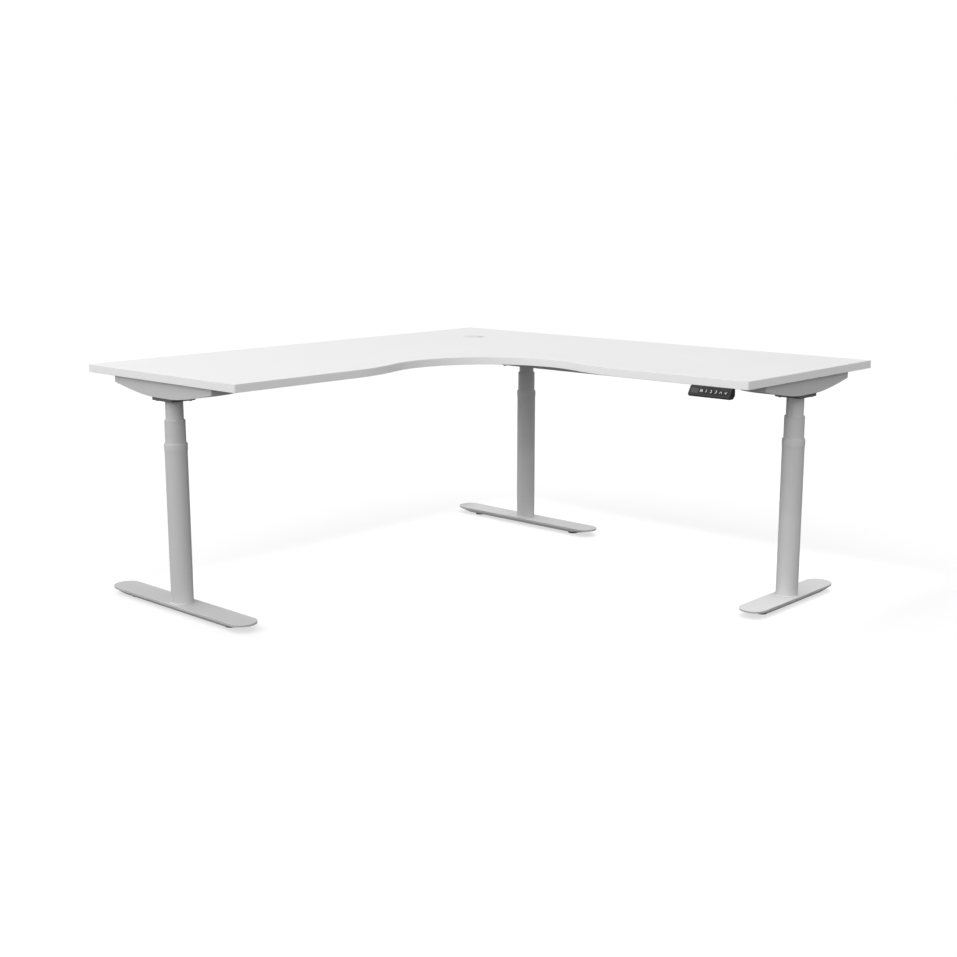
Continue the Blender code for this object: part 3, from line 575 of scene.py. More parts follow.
lip = MIDDLE_COLLAR_HIGH - COLLAR_LIP
middle_collar = turn(
    "middle_collar_moulding", (0, 0),
    [
        (MIDDLE_TUBE - 0.0006, MIDDLE_COLLAR_HIGH), (MIDDLE_TUBE, MIDDLE_COLLAR_HIGH - 0.0008),
        (MIDDLE_TUBE, lip), (MIDDLE_TUBE - WALL - 0.0003, lip),
        (MIDDLE_TUBE - WALL - 0.0003, MIDDLE_COLLAR_LOW), (INNER_TUBE + SLIDING_GAP, MIDDLE_COLLAR_LOW),
        (INNER_TUBE + SLIDING_GAP, MIDDLE_COLLAR_HIGH - 0.0005), (INNER_TUBE + 0.0010, MIDDLE_COLLAR_HIGH),
    ],
    96,
)
soften(middle_collar, 0.0002, 2, 60)
for_each_leg(middle_collar, nylon_painted_shade, "{}_middle_stage", "white_plastic", "{}_middle_collar")


# ---- Feet ----------------------------------------------------------------------------------------
# Each foot is a long casting with round tips, powder coated like the tubes. A shadow groove runs
# round under its top plate, and below that the sides slope in. Pockets beneath save weight.

FOOT_TOP = 0.028
FOOT_LOW = 0.010
FOOT_HALF_WIDTH = 0.045
TOP_PLATE = 0.0032
GROOVE_HEIGHT = 0.0036
GROOVE_DEPTH = 0.0022
GROOVE_LOW = FOOT_TOP - TOP_PLATE - GROOVE_HEIGHT
BAND_SETBACK = 0.0008  # how far the casting below the groove stands in
TIP_SETBACK = 0.050
SIDE_SETBACK = 0.009
BOLT_OFFSET = 0.022
POCKET_START = 0.042
POCKET_WIDTH, POCKET_DEPTH = 0.054, 0.013
GLIDE_BOSS = 0.028  # half length of the solid stretch round each glide
MAIN_FOOT = (0.3475, 0.245)
RETURN_FOOT = (0.245, 0.151)
FEET = {"left": MAIN_FOOT, "corner": MAIN_FOOT, "right": RETURN_FOOT}  # half length, glide from middle


def narrow_outline(piece, level, arc_centre, radius, inwards, tips_inwards=None):
    """Draws the selected outline in all round, and its tips further if asked."""
    shape = bmesh.from_edit_mesh(piece.data)
    shape.verts.index_update()
    chosen = {v.index for v in shape.verts if v.select}
    share = (radius - inwards) / radius
    for sign in (1, -1):
        pick(piece, "verts", lambda v: v.index in chosen and v.co.x * sign > 0)
        bpy.ops.transform.resize(value=(share, share, 1), center_override=(sign * arc_centre, 0, level))
        if tips_inwards:
            bpy.ops.transform.translate(value=(sign * (inwards - tips_inwards), 0, 0))
    pick(piece, "verts", lambda v: v.index in chosen)


for side in SIDES:
    half_length, glide_place = FEET[side]
    arc_centre = half_length - FOOT_HALF_WIDTH
    foot = begin_outline(f"{side}_foot_casting", (-arc_centre, -FOOT_HALF_WIDTH, FOOT_TOP))
    line(2 * arc_centre, 0)
    arc((arc_centre, 0, FOOT_TOP), 180, 40)
    line(-2 * arc_centre, 0)
    arc((-arc_centre, 0, FOOT_TOP), 180, 40)
    close_up()
    bpy.ops.mesh.edge_face_add()
    extrude(0, 0, -TOP_PLATE)
    extrude(0, 0, 0)
    narrow_outline(foot, FOOT_TOP - TOP_PLATE, arc_centre, FOOT_HALF_WIDTH, GROOVE_DEPTH)
    extrude(0, 0, -GROOVE_HEIGHT)
    extrude(0, 0, 0)
    outwards = BAND_SETBACK - GROOVE_DEPTH
    narrow_outline(foot, GROOVE_LOW, arc_centre, FOOT_HALF_WIDTH - GROOVE_DEPTH, outwards)
    extrude(0, 0, FOOT_LOW - GROOVE_LOW)
    narrow_outline(foot, FOOT_LOW, arc_centre, FOOT_HALF_WIDTH - BAND_SETBACK, SIDE_SETBACK, TIP_SETBACK)
    close_up()
    leave_edit()
    round_edges(foot, 0.0007, 3, 60)
    for sign in (1, -1):
        pocket_end = glide_place - GLIDE_BOSS
        size = (pocket_end - POCKET_START, POCKET_WIDTH, 2 * POCKET_DEPTH)
        pocket_place = (sign * (POCKET_START + pocket_end) / 2, 0, FOOT_LOW)
        cut(foot, round_block("pocket", size, pocket_place, 0.010, 5))
        drill(foot, 0.0055, 0.029, (sign * glide_place, 0, FOOT_LOW))
        for across in (-BOLT_OFFSET, BOLT_OFFSET):
            drill(foot, 0.0075, 0.014, (sign * BOLT_OFFSET, across, FOOT_LOW))
    soften(foot, 0)
    foot.data.transform(LEG_PLACES[side])
    fit(foot, powder_painted_shade, "base", "white_paint", f"{side}_foot")


# ---- Foot bolts ----------------------------------------------------------------------------------
# Four zinc-plated M8 socket screws hold each foot to the plate in the bottom of its column. Their
# heads sit in sinks in the underside of the foot.

zinc = Finish("zinc_plate", (0.62, 0.62, 0.60), 0.32, 1.0)
zinc_cloud = zinc.noise(260, 3)
zinc.feed("Base Color", zinc.blend(zinc_cloud, (0.55, 0.55, 0.54), (0.70, 0.70, 0.67)))
zinc.feed("Roughness", 0.24 + zinc_cloud * 0.22)
zinc.relief(zinc.noise(1500, 2), 0.00002, 0.5)


def socket_screw(name, place, radius, height):
    """The head of a socket screw, seen from below: its rim rounded and a hexagon sunk in it."""
    screw = rod(name, radius, height, place)
    leave_edit()
    round_edges(screw, radius * 0.14, 2, 60)
    drill(screw, radius * 0.55, height, (place[0], place[1], place[2] - height * 0.6), 6)
    soften(screw, 0)
    return screw


def gathered(name, pieces):
    """Several like pieces made one."""
    select_only(*pieces)
    if len(pieces) > 1:
        bpy.ops.object.join()
    pieces[0].name = pieces[0].data.name = name
    return pieces[0]


def four_screws(name, x_offset, y_offset, z, radius, height):
    """Four socket screws at the corners of an oblong, made one piece."""
    corners = [(x, y, z) for x in (-x_offset, x_offset) for y in (-y_offset, y_offset)]
    return gathered(f"{name}s", [socket_screw(name, corner, radius, height) for corner in corners])


foot_bolts = four_screws("foot_bolt", BOLT_OFFSET, BOLT_OFFSET, FOOT_LOW + 0.0040, 0.0065, 0.0058)
for_each_leg(foot_bolts, zinc, "base", "screw_steel")


# ---- Levelling glides ----------------------------------------------------------------------------
# Black glides under both ends of each foot: a hard rubber pad with a knurled rim to turn it by,
# moulded onto a zinc-plated M10 stud.

GLIDE_RIM = 0.019
RIM_LOW, RIM_HIGH = 0.0012, 0.0052
PAD_TOP = 0.0097
KNURL_STEP = 5  # degrees
STUD_RADIUS = 0.0050
STUD_TOP = 0.0238
THREAD_DEPTH = 0.0008
rubber = Finish("glide_rubber_black", (0.014, 0.014, 0.014), 0.66, specular=0.18)
scuff = rubber.noise(900, 3)
rubber.feed("Base Color", rubber.blend(scuff, (0.009, 0.009, 0.009), (0.021, 0.021, 0.020)))
rubber.feed("Roughness", 0.58 + scuff * 0.2)
rubber.relief(scuff, 0.00005, 0.6)

pad = turn(
    "glide_pad", (0, 0),
    [
        (0, PAD_TOP), (0.0150, PAD_TOP), (0.0158, 0.0080), (0.0175, 0.0062), (GLIDE_RIM, RIM_HIGH),
        (GLIDE_RIM, RIM_LOW), (GLIDE_RIM - 0.0010, 0), (0.0130, 0), (0.0120, 0.0008), (0, 0.0008),
    ],
    72,
)


def knurl(face):
    """A test for every second face round the rim."""
    spot = middle(face)
    turned = round(math.degrees(math.atan2(spot.y, spot.x)) / KNURL_STEP - 0.5)
    return spot.xy.length > GLIDE_RIM - 0.0003 and RIM_LOW < spot.z < RIM_HIGH and turned % 2 == 0


pick(pad, "faces", knurl)
bpy.ops.mesh.inset(thickness=0.00025, use_individual=True)
bpy.ops.transform.resize(value=(0.975, 0.975, 1), center_override=(0, 0, 0.003))
soften(pad, 0)
stud = turn(
    "glide_stud", (0, 0),
    [(0, STUD_TOP), (STUD_RADIUS - THREAD_DEPTH, STUD_TOP)]
    + [(STUD_RADIUS - THREAD_DEPTH * (i % 2), STUD_TOP - 0.0006 - i * 0.00074) for i in range(17)]
    + [(STUD_RADIUS, PAD_TOP + 0.0001), (0, PAD_TOP + 0.0001)],
    32,
)
soften(stud, 0)
for side in SIDES:
    for end, sign in (("front", 1), ("rear", -1)):
        place = LEG_PLACES[side] @ Matrix.Translation((sign * FEET[side][1], 0, 0))
        body = f"{side}_{end}_glide"
        fit(copied(pad, f"{side}_{end}_{pad.name}", place), rubber, body, "glide_rubber", body)
        fit(copied(stud, f"{side}_{end}_{stud.name}", place), zinc, body, "screw_steel")
for piece in (pad, stud):
    bpy.data.objects.remove(piece, do_unlink=True)


# ---- Arms under the top --------------------------------------------------------------------------
# Each column carries a boat-shaped arm, pressed from 2.5 mm steel and powder coated. It is open
# towards the board, flat on both sides, and its keel sweeps up to a square-cut end.

ARM_TOP = 0.7317
ARM_HALF_LENGTH = 0.250
ARM_WIDTH = 0.092
ARM_DEPTH = 0.051
ARM_WALL = 0.0025
ARM_RISE = 0.030
KEEL_HALF = 0.050  # half length of the flat stretch of the keel
SWEEP = 1.45
ARM_STATIONS = 48

arm_size = (2 * ARM_HALF_LENGTH, ARM_WIDTH, ARM_DEPTH)
arm = block("arm_pressing", arm_size, (0, 0, ARM_TOP - ARM_DEPTH / 2))
pick(arm, "edges", along(0))
bpy.ops.mesh.subdivide(number_cuts=ARM_STATIONS - 1)
for station in range(ARM_STATIONS + 1):
    x = -ARM_HALF_LENGTH + 2 * ARM_HALF_LENGTH * station / ARM_STATIONS
    out = max(0, abs(x) - KEEL_HALF) / (ARM_HALF_LENGTH - KEEL_HALF)
    pick(arm, "verts", lambda v: abs(v.co.x - x) < 1e-4 and v.co.z < ARM_TOP - 0.01)
    bpy.ops.transform.translate(value=(0, 0, ARM_RISE * out**SWEEP))
pick(arm, "edges", lambda e: along(2)(e) and abs(abs(middle(e).x) - ARM_HALF_LENGTH) < 1e-4)
bpy.ops.mesh.bevel(offset=0.005, segments=5)
pick(arm, "faces", lambda f: f.normal.z > 0.9)
bpy.ops.mesh.delete(type="FACE")
modify(arm, "SOLIDIFY", thickness=ARM_WALL, offset=-1, use_even_offset=True)
cut(arm, round_block("mouth", (0.0812, 0.0672, 0.02), (0, 0, ARM_TOP - ARM_DEPTH), 0.002, 2))
for x in (-0.175, 0.175):
    for y in (-0.026, 0.026):
        drill(arm, 0.006, 0.06, (x, y, ARM_TOP - 0.038))
soften(arm, 0.0009, 2, 50)
for_each_leg(arm, powder_painted_shade, "top", "white_paint", "{}_arm")


# ---- Gearboxes -----------------------------------------------------------------------------------
# A die-cast gearbox stands in each arm on the inner tube. Its flange is the dark plate under the
# arm, held to it by four screws. Its near-black colour is partly the casting's own and partly
# painted shade, for the shade under the arm. A white washer lies between the flange and the tube.

FLANGE_LOW, FLANGE_HIGH = 0.6717, 0.6807
FLANGE_LENGTH = 0.100
CASE_LOW, CASE_TOP = FLANGE_LOW + 0.004, 0.7292
WASHER_RADIUS, WASHER_BORE = 0.0292, 0.0277
WASHER_LOW = FLANGE_LOW - 0.0016
# Near-black base colour: the dark metal's own colour, and on the flange also painted shade for the shade
# under the arm.
dark_metal_and_shade = Finish("die_cast_dark", (0.12, 0.12, 0.125), 0.48, 0.35)
sand = dark_metal_and_shade.noise(1100, 3)
dark_metal_and_shade.feed("Base Color", dark_metal_and_shade.blend(dark_metal_and_shade.noise(40, 3), (0.095, 0.095, 0.10), (0.15, 0.15, 0.155)))
dark_metal_and_shade.feed("Roughness", 0.40 + sand * 0.22)
dark_metal_and_shade.relief(sand, 0.00008, 0.6)

flange_size = (FLANGE_LENGTH, ARM_WIDTH, FLANGE_HIGH - FLANGE_LOW)
flange_place = (0, 0, (FLANGE_LOW + FLANGE_HIGH) / 2)
flange = round_block("gearbox_casting", flange_size, flange_place, 0.004, 5)
case_size = (0.0794, 0.0654, CASE_TOP - CASE_LOW)
gear_case = round_block("gear_case", case_size, (0, 0, (CASE_TOP + CASE_LOW) / 2), 0.004, 4)
step_in(gear_case, (0, 0, 1), 0.006, -0.0020)
cut(flange, gear_case, "UNION")
cut(flange, rod("spigot", 0.0252, 0.030, (0, 0, FLANGE_LOW - 0.009), 64), "UNION")
drill(flange, 0.0075, 0.0535, (0, 0, FLANGE_LOW + 0.0015), 40)
soften(flange, 0.0006, 2, 50)
for_each_leg(flange, dark_metal_and_shade, "top", "dark_casting", "{}_gearbox")

washer = turn(
    "head_washer", (0, 0),
    [
        (WASHER_RADIUS, FLANGE_LOW), (WASHER_RADIUS, WASHER_LOW), (WASHER_BORE, WASHER_LOW),
        (WASHER_BORE, FLANGE_LOW),
    ],
    72,
)
soften(washer, 0.0003, 2)
for_each_leg(washer, moulding, "top", "white_plastic")

flange_screws = four_screws("flange_screw", 0.038, 0.034, FLANGE_LOW - 0.0018, 0.0045, 0.0036)
for_each_leg(flange_screws, zinc, "top", "screw_steel")


# ---- Motors --------------------------------------------------------------------------------------
# A round motor lies in each arm beside the gearbox: a drawn steel can between two rolled rims, with
# a shallow flat along one side, and an end cap with a bearing boss in its middle.

MOTOR_START = 0.0403
MOTOR_LENGTH = 0.095
MOTOR_RADIUS = 0.0165
CAN_RADIUS = MOTOR_RADIUS - 0.0007
BOSS_START = 0.0910
in_arm = Matrix.Translation((MOTOR_START, 0, CASE_TOP - MOTOR_RADIUS))
lay_down = in_arm @ Matrix.Rotation(math.radians(90), 4, "Y")
motor = turn(
    "motor_can", (0, 0),
    [
        (0, 0), (MOTOR_RADIUS, 0), (MOTOR_RADIUS, 0.0035), (CAN_RADIUS, 0.0042), (CAN_RADIUS, 0.0760),
        (MOTOR_RADIUS, 0.0768), (MOTOR_RADIUS, 0.0800), (MOTOR_RADIUS - 0.0012, 0.0808),
        (MOTOR_RADIUS - 0.0012, 0.0895), (MOTOR_RADIUS - 0.0030, BOSS_START), (0.0070, BOSS_START),
        (0.0060, MOTOR_LENGTH), (0, MOTOR_LENGTH),
    ],
    64,
)


def name_plate_side(face):
    """A test for the faces of the can within 14 degrees of its +X side."""
    spot = middle(face)
    return 0.005 < spot.z < 0.07 and abs(math.degrees(math.atan2(spot.y, spot.x))) < 14


pick(motor, "faces", name_plate_side)
bpy.ops.mesh.inset(thickness=0.002)
bpy.ops.transform.translate(value=(-0.0004, 0, 0))
soften(motor, 0.0002, 1, 50)
motor.data.transform(lay_down)
for_each_leg(motor, dark_metal_and_shade, "top", "dark_casting", "{}_motor")


# ---- Drive screws and nut tubes ------------------------------------------------------------------
# Inside each column a trapezoidal screw hangs from the gearbox and turns in a moulded nut tube on the
# foot of the middle stage. The screw is greased, and a row of rings stands for its thread.

SCREW_TOP = 0.6997
SCREW_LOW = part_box("left_drive_screw")[0].z
THREAD_CREST, THREAD_ROOT = 0.0070, 0.0058
PITCH = 0.005
THREAD_LOW = SCREW_LOW + 0.006
steel = Finish("screw_steel_bright", (0.58, 0.58, 0.59), 0.26, 1.0)
grease = steel.noise(90, 3)
steel.feed("Base Color", steel.blend(grease, (0.50, 0.49, 0.46), (0.66, 0.66, 0.67)))
steel.feed("Roughness", 0.16 + grease * 0.26)
steel.relief(steel.noise(2200, 1, (1, 1, 0.1)), 0.00001, 0.5)

turns = int((SCREW_TOP - 0.030 - THREAD_LOW) / PITCH)
outline = [(0, SCREW_TOP), (THREAD_CREST, SCREW_TOP), (THREAD_CREST, THREAD_LOW + turns * PITCH)]
for i in range(turns, 0, -1):
    high = THREAD_LOW + i * PITCH
    outline += [(THREAD_ROOT, high - 0.0010), (THREAD_ROOT, high - 0.0024)]
    outline += [(THREAD_CREST, high - 0.0034), (THREAD_CREST, high - PITCH)]
outline += [(THREAD_ROOT, SCREW_LOW + 0.002), (THREAD_ROOT - 0.001, SCREW_LOW), (0, SCREW_LOW)]
screw = turn("drive_screw_thread", (0, 0), outline, 24)
soften(screw, 0)
for_each_leg(screw, steel, "{}_screw", "screw_steel", "{}_drive_screw")

NUT_LOW, NUT_HIGH = span("left_nut_tube")
NUT_RADIUS, NUT_BORE = 0.012, 0.0075
NUT_FLANGE, NUT_FLANGE_RADIUS = 0.0035, 0.0297
acetal = Finish("acetal_natural", (0.70, 0.70, 0.68), 0.46)
flow = acetal.noise(300, 3, (1, 1, 0.2))
acetal.feed("Base Color", acetal.blend(flow, (0.67, 0.67, 0.65), (0.73, 0.73, 0.71)))
acetal.feed("Roughness", 0.38 + flow * 0.14)
acetal.relief(flow, 0.00003, 0.5)
nut = turn(
    "nut_tube_moulding", (0, 0),
    [
        (NUT_RADIUS, NUT_HIGH), (NUT_RADIUS, NUT_LOW + 0.0120), (0.0135, NUT_LOW + 0.0060),
        (0.0180, NUT_LOW + NUT_FLANGE), (NUT_FLANGE_RADIUS, NUT_LOW + NUT_FLANGE),
        (NUT_FLANGE_RADIUS, NUT_LOW), (NUT_BORE, NUT_LOW), (NUT_BORE, NUT_HIGH),
    ],
    48,
)
soften(nut, 0.0005, 2, 50)
for_each_leg(nut, acetal, "{}_middle_stage", "bush_plastic", "{}_nut_tube")


# ---- Rails ---------------------------------------------------------------------------------------
# Two pairs of rectangular steel tubes tie the legs together under the board. They are powder coated,
# cut square and left open at their ends, and bolted up through slots.

RAIL_WALL = 0.002
SLOT_REACH = 0.012


def hex_bolt(name, place, radius=0.0055, height=0.0040):
    """A hexagon bolt head on its washer, seen from below."""
    washer = rod(name, radius * 1.35, 0.0012, place)
    cut(washer, rod("head", radius, height, (place[0], place[1], place[2] - height / 2), 6), "UNION")
    soften(washer, 0.0003, 2)
    return washer


rail_bolts = []
for name in ("main_rail_front", "main_rail_rear", "return_rail_front", "return_rail_rear"):
    low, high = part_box(name)
    size, centre = high - low, (low + high) / 2
    axis = 0 if size.x > size.y else 1
    tube = round_block(f"{name}_tube", size, centre, 0.004, 5, axis)
    pick(tube, "faces", lambda f: abs(f.normal[axis]) > 0.9)
    bpy.ops.mesh.delete(type="FACE")
    modify(tube, "SOLIDIFY", thickness=RAIL_WALL, offset=-1, use_even_offset=True)
    step = Vector((1, 0, 0)) if axis == 0 else Vector((0, 1, 0))
    for end in (-1, 1):
        for inset in (0.045, 0.155):
            spot = centre + step * end * (size[axis] / 2 - inset)
            slot = rod("slot", 0.0035, 0.010, (spot.x, spot.y, low.z))
            pick(slot, "verts", lambda v: (v.co - spot)[axis] > 0.0001)
            bpy.ops.transform.translate(value=step * SLOT_REACH)
            cut(tube, slot)
            bolt_place = spot + step * SLOT_REACH / 2
            rail_bolts.append(hex_bolt("rail_bolt", (*bolt_place.xy, low.z - 0.0004)))
    soften(tube, 0.0003, 1, 60)
    fit(tube, powder_painted_shade, "top", "white_paint", name)
fit(gathered("rail_bolts", rail_bolts), zinc, "top", "screw_steel")


# ---- Return bracket ------------------------------------------------------------------------------
# A 4 mm steel plate welded to the ends of the return rails. Two bolts hold it to the main rail.

low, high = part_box("return_bracket")
plate = round_block("return_bracket_plate", high - low, (low + high) / 2, 0.005, 5, 0)
soften(plate, 0.0006, 2)
fit(plate, powder_painted_shade, "top", "white_paint", "return_bracket")
plate_bolts = []
for y in (low.y + 0.010, high.y - 0.010):
    bolt = hex_bolt("plate_bolt", (0, 0, 0))
    on_plate = Matrix.Translation((high.x + 0.0003, y, (low.z + high.z) / 2))
    bolt.data.transform(on_plate @ Matrix.Rotation(math.radians(-90), 4, "Y"))
    plate_bolts.append(bolt)
fit(gathered("plate_bolts", plate_bolts), zinc, "top", "screw_steel")


# ---- Control box ---------------------------------------------------------------------------------
# A flat black box screwed up under the return wing behind the rails: a moulded tray with cooling
# slots, a mains inlet at one end and four motor sockets at the other, closed by a flat lid.

TRAY_LOW, TRAY_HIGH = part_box("control_box_tray")
TRAY_SIZE = TRAY_HIGH - TRAY_LOW
TRAY_MIDDLE = (TRAY_LOW + TRAY_HIGH) / 2
TRAY_WALL = 0.0025
SOCKET_PLACES = [TRAY_MIDDLE.y + (i - 1.5) * 0.021 for i in range(4)]
OPENING_DEPTH = 0.012
black = Finish("moulded_black", (0.018, 0.018, 0.019), 0.42, specular=0.22)
spark = black.noise(2000, 3)
black.feed("Base Color", black.blend(black.noise(30, 3), (0.017, 0.017, 0.018), (0.030, 0.030, 0.031)))
black.feed("Roughness", 0.34 + spark * 0.2)
black.relief(spark, 0.00004, 0.6)

tray = round_block("control_box_moulding", TRAY_SIZE, TRAY_MIDDLE, 0.005, 5)
step_in(tray, (0, 0, 1), TRAY_WALL, TRAY_WALL - TRAY_SIZE.z)
inlet_place = (TRAY_HIGH.x, TRAY_MIDDLE.y, TRAY_MIDDLE.z)
cut(tray, round_block("inlet", (OPENING_DEPTH, 0.027, 0.019), inlet_place, 0.0015, 3, 0))
for y in SOCKET_PLACES:
    place = (TRAY_LOW.x, y, TRAY_MIDDLE.z)
    cut(tray, round_block("socket", (OPENING_DEPTH, 0.013, 0.009), place, 0.0015, 3, 0))
for i in range(14):
    for y in (TRAY_LOW.y, TRAY_HIGH.y):
        place = (TRAY_MIDDLE.x - 0.078 + i * 0.012, y, TRAY_MIDDLE.z + 0.002)
        cut(tray, round_block("vent", (0.004, OPENING_DEPTH, 0.014), place, 0.0015, 3, 1))
soften(tray, 0.0007, 2, 60)
fit(tray, black, "top", "black_plastic", "control_box_tray")

LID_LOW, LID_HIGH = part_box("control_box_lid")
lid = round_block("control_box_cover", LID_HIGH - LID_LOW, (LID_LOW + LID_HIGH) / 2, 0.005, 5)
step_in(lid, (0, 0, -1), 0.0032, -0.0008)
soften(lid, 0.0005, 2, 60)
fit(lid, black, "top", "black_plastic", "control_box_lid")

# The inlet's three pins and the sockets' rows of pins stand in black inserts inside the openings.
inserts, pins = [], []
depth = TRAY_HIGH.x - 0.010
insert_place = (depth, TRAY_MIDDLE.y, TRAY_MIDDLE.z)
insert = block("inlet_insert", (0.006, 0.0262, 0.0182), insert_place)
step_in(insert, (1, 0, 0), 0.0015, -0.0015)
soften(insert, 0.0003, 1)
inserts.append(insert)
for y, z in ((-0.007, 0.002), (0.007, 0.002), (0, -0.003)):
    pin_place = (depth + 0.005, TRAY_MIDDLE.y + y, TRAY_MIDDLE.z + z)
    pin = block("pin", (0.010, 0.0018, 0.004), pin_place)
    soften(pin, 0.0003, 2)
    pins.append(pin)
for y in SOCKET_PLACES:
    insert_place = (TRAY_LOW.x + 0.008, y, TRAY_MIDDLE.z)
    insert = block("socket_insert", (0.006, 0.0124, 0.0084), insert_place)
    step_in(insert, (-1, 0, 0), 0.0010, -0.0012)
    soften(insert, 0.0002, 1)
    inserts.append(insert)
    for across in (-0.0037, -0.0012, 0.0012, 0.0037):
        for up in (-0.0012, 0.0012):
            pin_place = (TRAY_LOW.x + 0.0055, y + across, TRAY_MIDDLE.z + up)
            pin = block("pin", (0.006, 0.0006, 0.0006), pin_place)
            soften(pin, 0.0001, 1)
            pins.append(pin)
fit(gathered("control_box_inserts", inserts), black, "top", "black_plastic")
fit(gathered("control_box_pins", pins), zinc, "top", "screw_steel")


# ---- Circuit boards ------------------------------------------------------------------------------
# Green glass-fibre boards, in the control box with its supply parts and in the handset with one
# switch under each button. The parts are soldered on.

laminate = Finish("circuit_board_green", (0.02, 0.13, 0.06), 0.35)
weave = laminate.noise(1500, 2)
lane_sizes = {"Vector": laminate.place, "Scale": 190, "Mortar Size": 0.028}
lane = laminate.node("ShaderNodeTexBrick", {"offset": 0.35}, lane_sizes, "Fac")
laminate.feed("Base Color", laminate.blend(lane, (0.014, 0.11, 0.05), (0.045, 0.24, 0.10)))
laminate.feed("Roughness", 0.26 + weave * 0.2)
laminate.relief(lane, 0.00004, 0.5)
parts = Finish("board_parts_dark", (0.05, 0.05, 0.055), 0.4)
print_cloud = parts.noise(700, 2)
parts.feed("Base Color", parts.blend(print_cloud, (0.03, 0.03, 0.032), (0.07, 0.07, 0.075)))
parts.feed("Roughness", 0.3 + print_cloud * 0.25)
parts.relief(print_cloud, 0.00003, 0.5)

for node in ("control_board", "handset_board"):
    board_copy = copied(frame["nodes"][node], f"{node}_laminate", Matrix())
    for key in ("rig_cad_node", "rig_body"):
        if key in board_copy:
            del board_copy[key]
    board_copy.parent = None
    reopen(board_copy)
    close_up(1e-5)
    soften(board_copy, 0.0002, 1)
    fit(board_copy, laminate, "top", "circuit_board", node)

BOARD_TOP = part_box("control_board")[1].z
chips = []
CHIP = (0.012, 0.012, 0.0016)
RELAY = (0.020, 0.015, 0.015)
for (x, y), (wide, deep, tall) in (
    ((-0.090, 0.020), CHIP), ((-0.060, 0.020), CHIP), ((-0.030, 0.020), CHIP), ((-0.060, -0.018), RELAY),
    ((-0.030, -0.018), RELAY), ((0.045, -0.010), (0.034, 0.030, 0.020)),
    ((0.092, 0.022), (0.020, 0.026, 0.014)), ((0.010, 0.026), (0.010, 0.014, 0.003)),
    ((-0.092, -0.018), (0.014, 0.010, 0.012)),
):
    chip_place = (TRAY_MIDDLE.x + x, TRAY_MIDDLE.y + y, BOARD_TOP + tall / 2 - 0.0001)
    chip = block("chip", (wide, deep, tall), chip_place)
    step_in(chip, (0, 0, 1), 0.0008, 0.0003)
    soften(chip, 0.0003, 2)
    chips.append(chip)
for x, y, radius, tall in (
    (0.010, -0.022, 0.008, 0.020), (0.085, -0.022, 0.009, 0.022), (0.106, -0.022, 0.009, 0.022),
    (-0.005, 0.004, 0.005, 0.011),
):
    can = turn(
        "can", (TRAY_MIDDLE.x + x, TRAY_MIDDLE.y + y),
        [
            (0, BOARD_TOP + tall), (radius, BOARD_TOP + tall), (radius, BOARD_TOP + 0.0026),
            (radius - 0.0005, BOARD_TOP + 0.002), (radius, BOARD_TOP + 0.0014), (radius, BOARD_TOP),
            (0, BOARD_TOP),
        ],
        32,
    )
    soften(can, 0.0003, 2)
    chips.append(can)
fit(gathered("control_board_parts", chips), parts, "top", "circuit_board")


# ---- Handset -------------------------------------------------------------------------------------
# A black moulded housing screwed up under the return wing's front edge, with a leaning black panel.
# The panel has a blank display window at its left and six keys: M, 1, 2, 3, up and down.

HANDSET_X = 0.776
PANEL_MIDDLE = Vector((HANDSET_X, 0.1345, 0.71795))
PANEL_LEAN = math.radians(31.72)
PANEL_LENGTH = 0.03233
PANEL_THICKNESS = 0.0020
HANDSET_WIDTH = 0.145
HANDSET_DEPTH = 0.014
HANDSET_TOP = 0.7317
KEYS = ("M", "1", "2", "3", "up", "down")
KEY_SIZE = (0.0135, 0.0130)
KEY_GAP = 0.0005
KEY_PROUD = 0.0010
KEY_THICKNESS = 0.0042
KEY_PLACES = [0.0436 - HANDSET_WIDTH / 2 + i * 0.0169 for i in range(len(KEYS))]
WINDOW_X = 0.0190 - HANDSET_WIDTH / 2
on_panel = Matrix.Translation(PANEL_MIDDLE) @ Matrix.Rotation(math.radians(90) - PANEL_LEAN, 4, "X")

left_end = HANDSET_X - HANDSET_WIDTH / 2
housing = begin_outline("handset_shell", (left_end, RETURN_FRONT + HANDSET_DEPTH, HANDSET_TOP))
set_back = 0.0023 / math.cos(PANEL_LEAN)
corners = [
    (HANDSET_DEPTH, -0.0003), (set_back - 0.002, -0.0003), (set_back - 0.019, -0.0278),
    (set_back - 0.017, -0.032), (0.004, -0.032), (HANDSET_DEPTH, -0.022),
]
for (y, z), (next_y, next_z) in zip(corners, corners[1:]):
    line(0, next_y - y, next_z - z)
bpy.ops.mesh.select_all(action="SELECT")
bpy.ops.mesh.edge_face_add()
extrude(HANDSET_WIDTH, 0, 0)
close_up()
leave_edit()
round_edges(housing, 0.0016, 4, 70)
bay = block("bay", (HANDSET_WIDTH - 0.008, PANEL_LENGTH - 0.006, 0.012), (0, 0, 0))
leave_edit()
bay.data.transform(on_panel @ Matrix.Translation((0, 0, -0.006)))
cut(housing, bay)
for x in (-0.050, 0.050):
    drill(housing, 0.0035, 0.010, (HANDSET_X + x, RETURN_FRONT - 0.004, 0.7001))
soften(housing, 0.0003, 1, 50)
fit(housing, black, "top", "black_plastic", "handset_housing")

gloss = Finish("panel_gloss_black", (0.010, 0.010, 0.012), 0.12)
wipe = gloss.noise(60, 4)
gloss.feed("Base Color", gloss.blend(wipe, (0.008, 0.008, 0.010), (0.014, 0.014, 0.016)))
gloss.feed("Roughness", 0.07 + wipe * 0.12)
gloss.relief(gloss.noise(500, 1), 0.00001, 0.4)

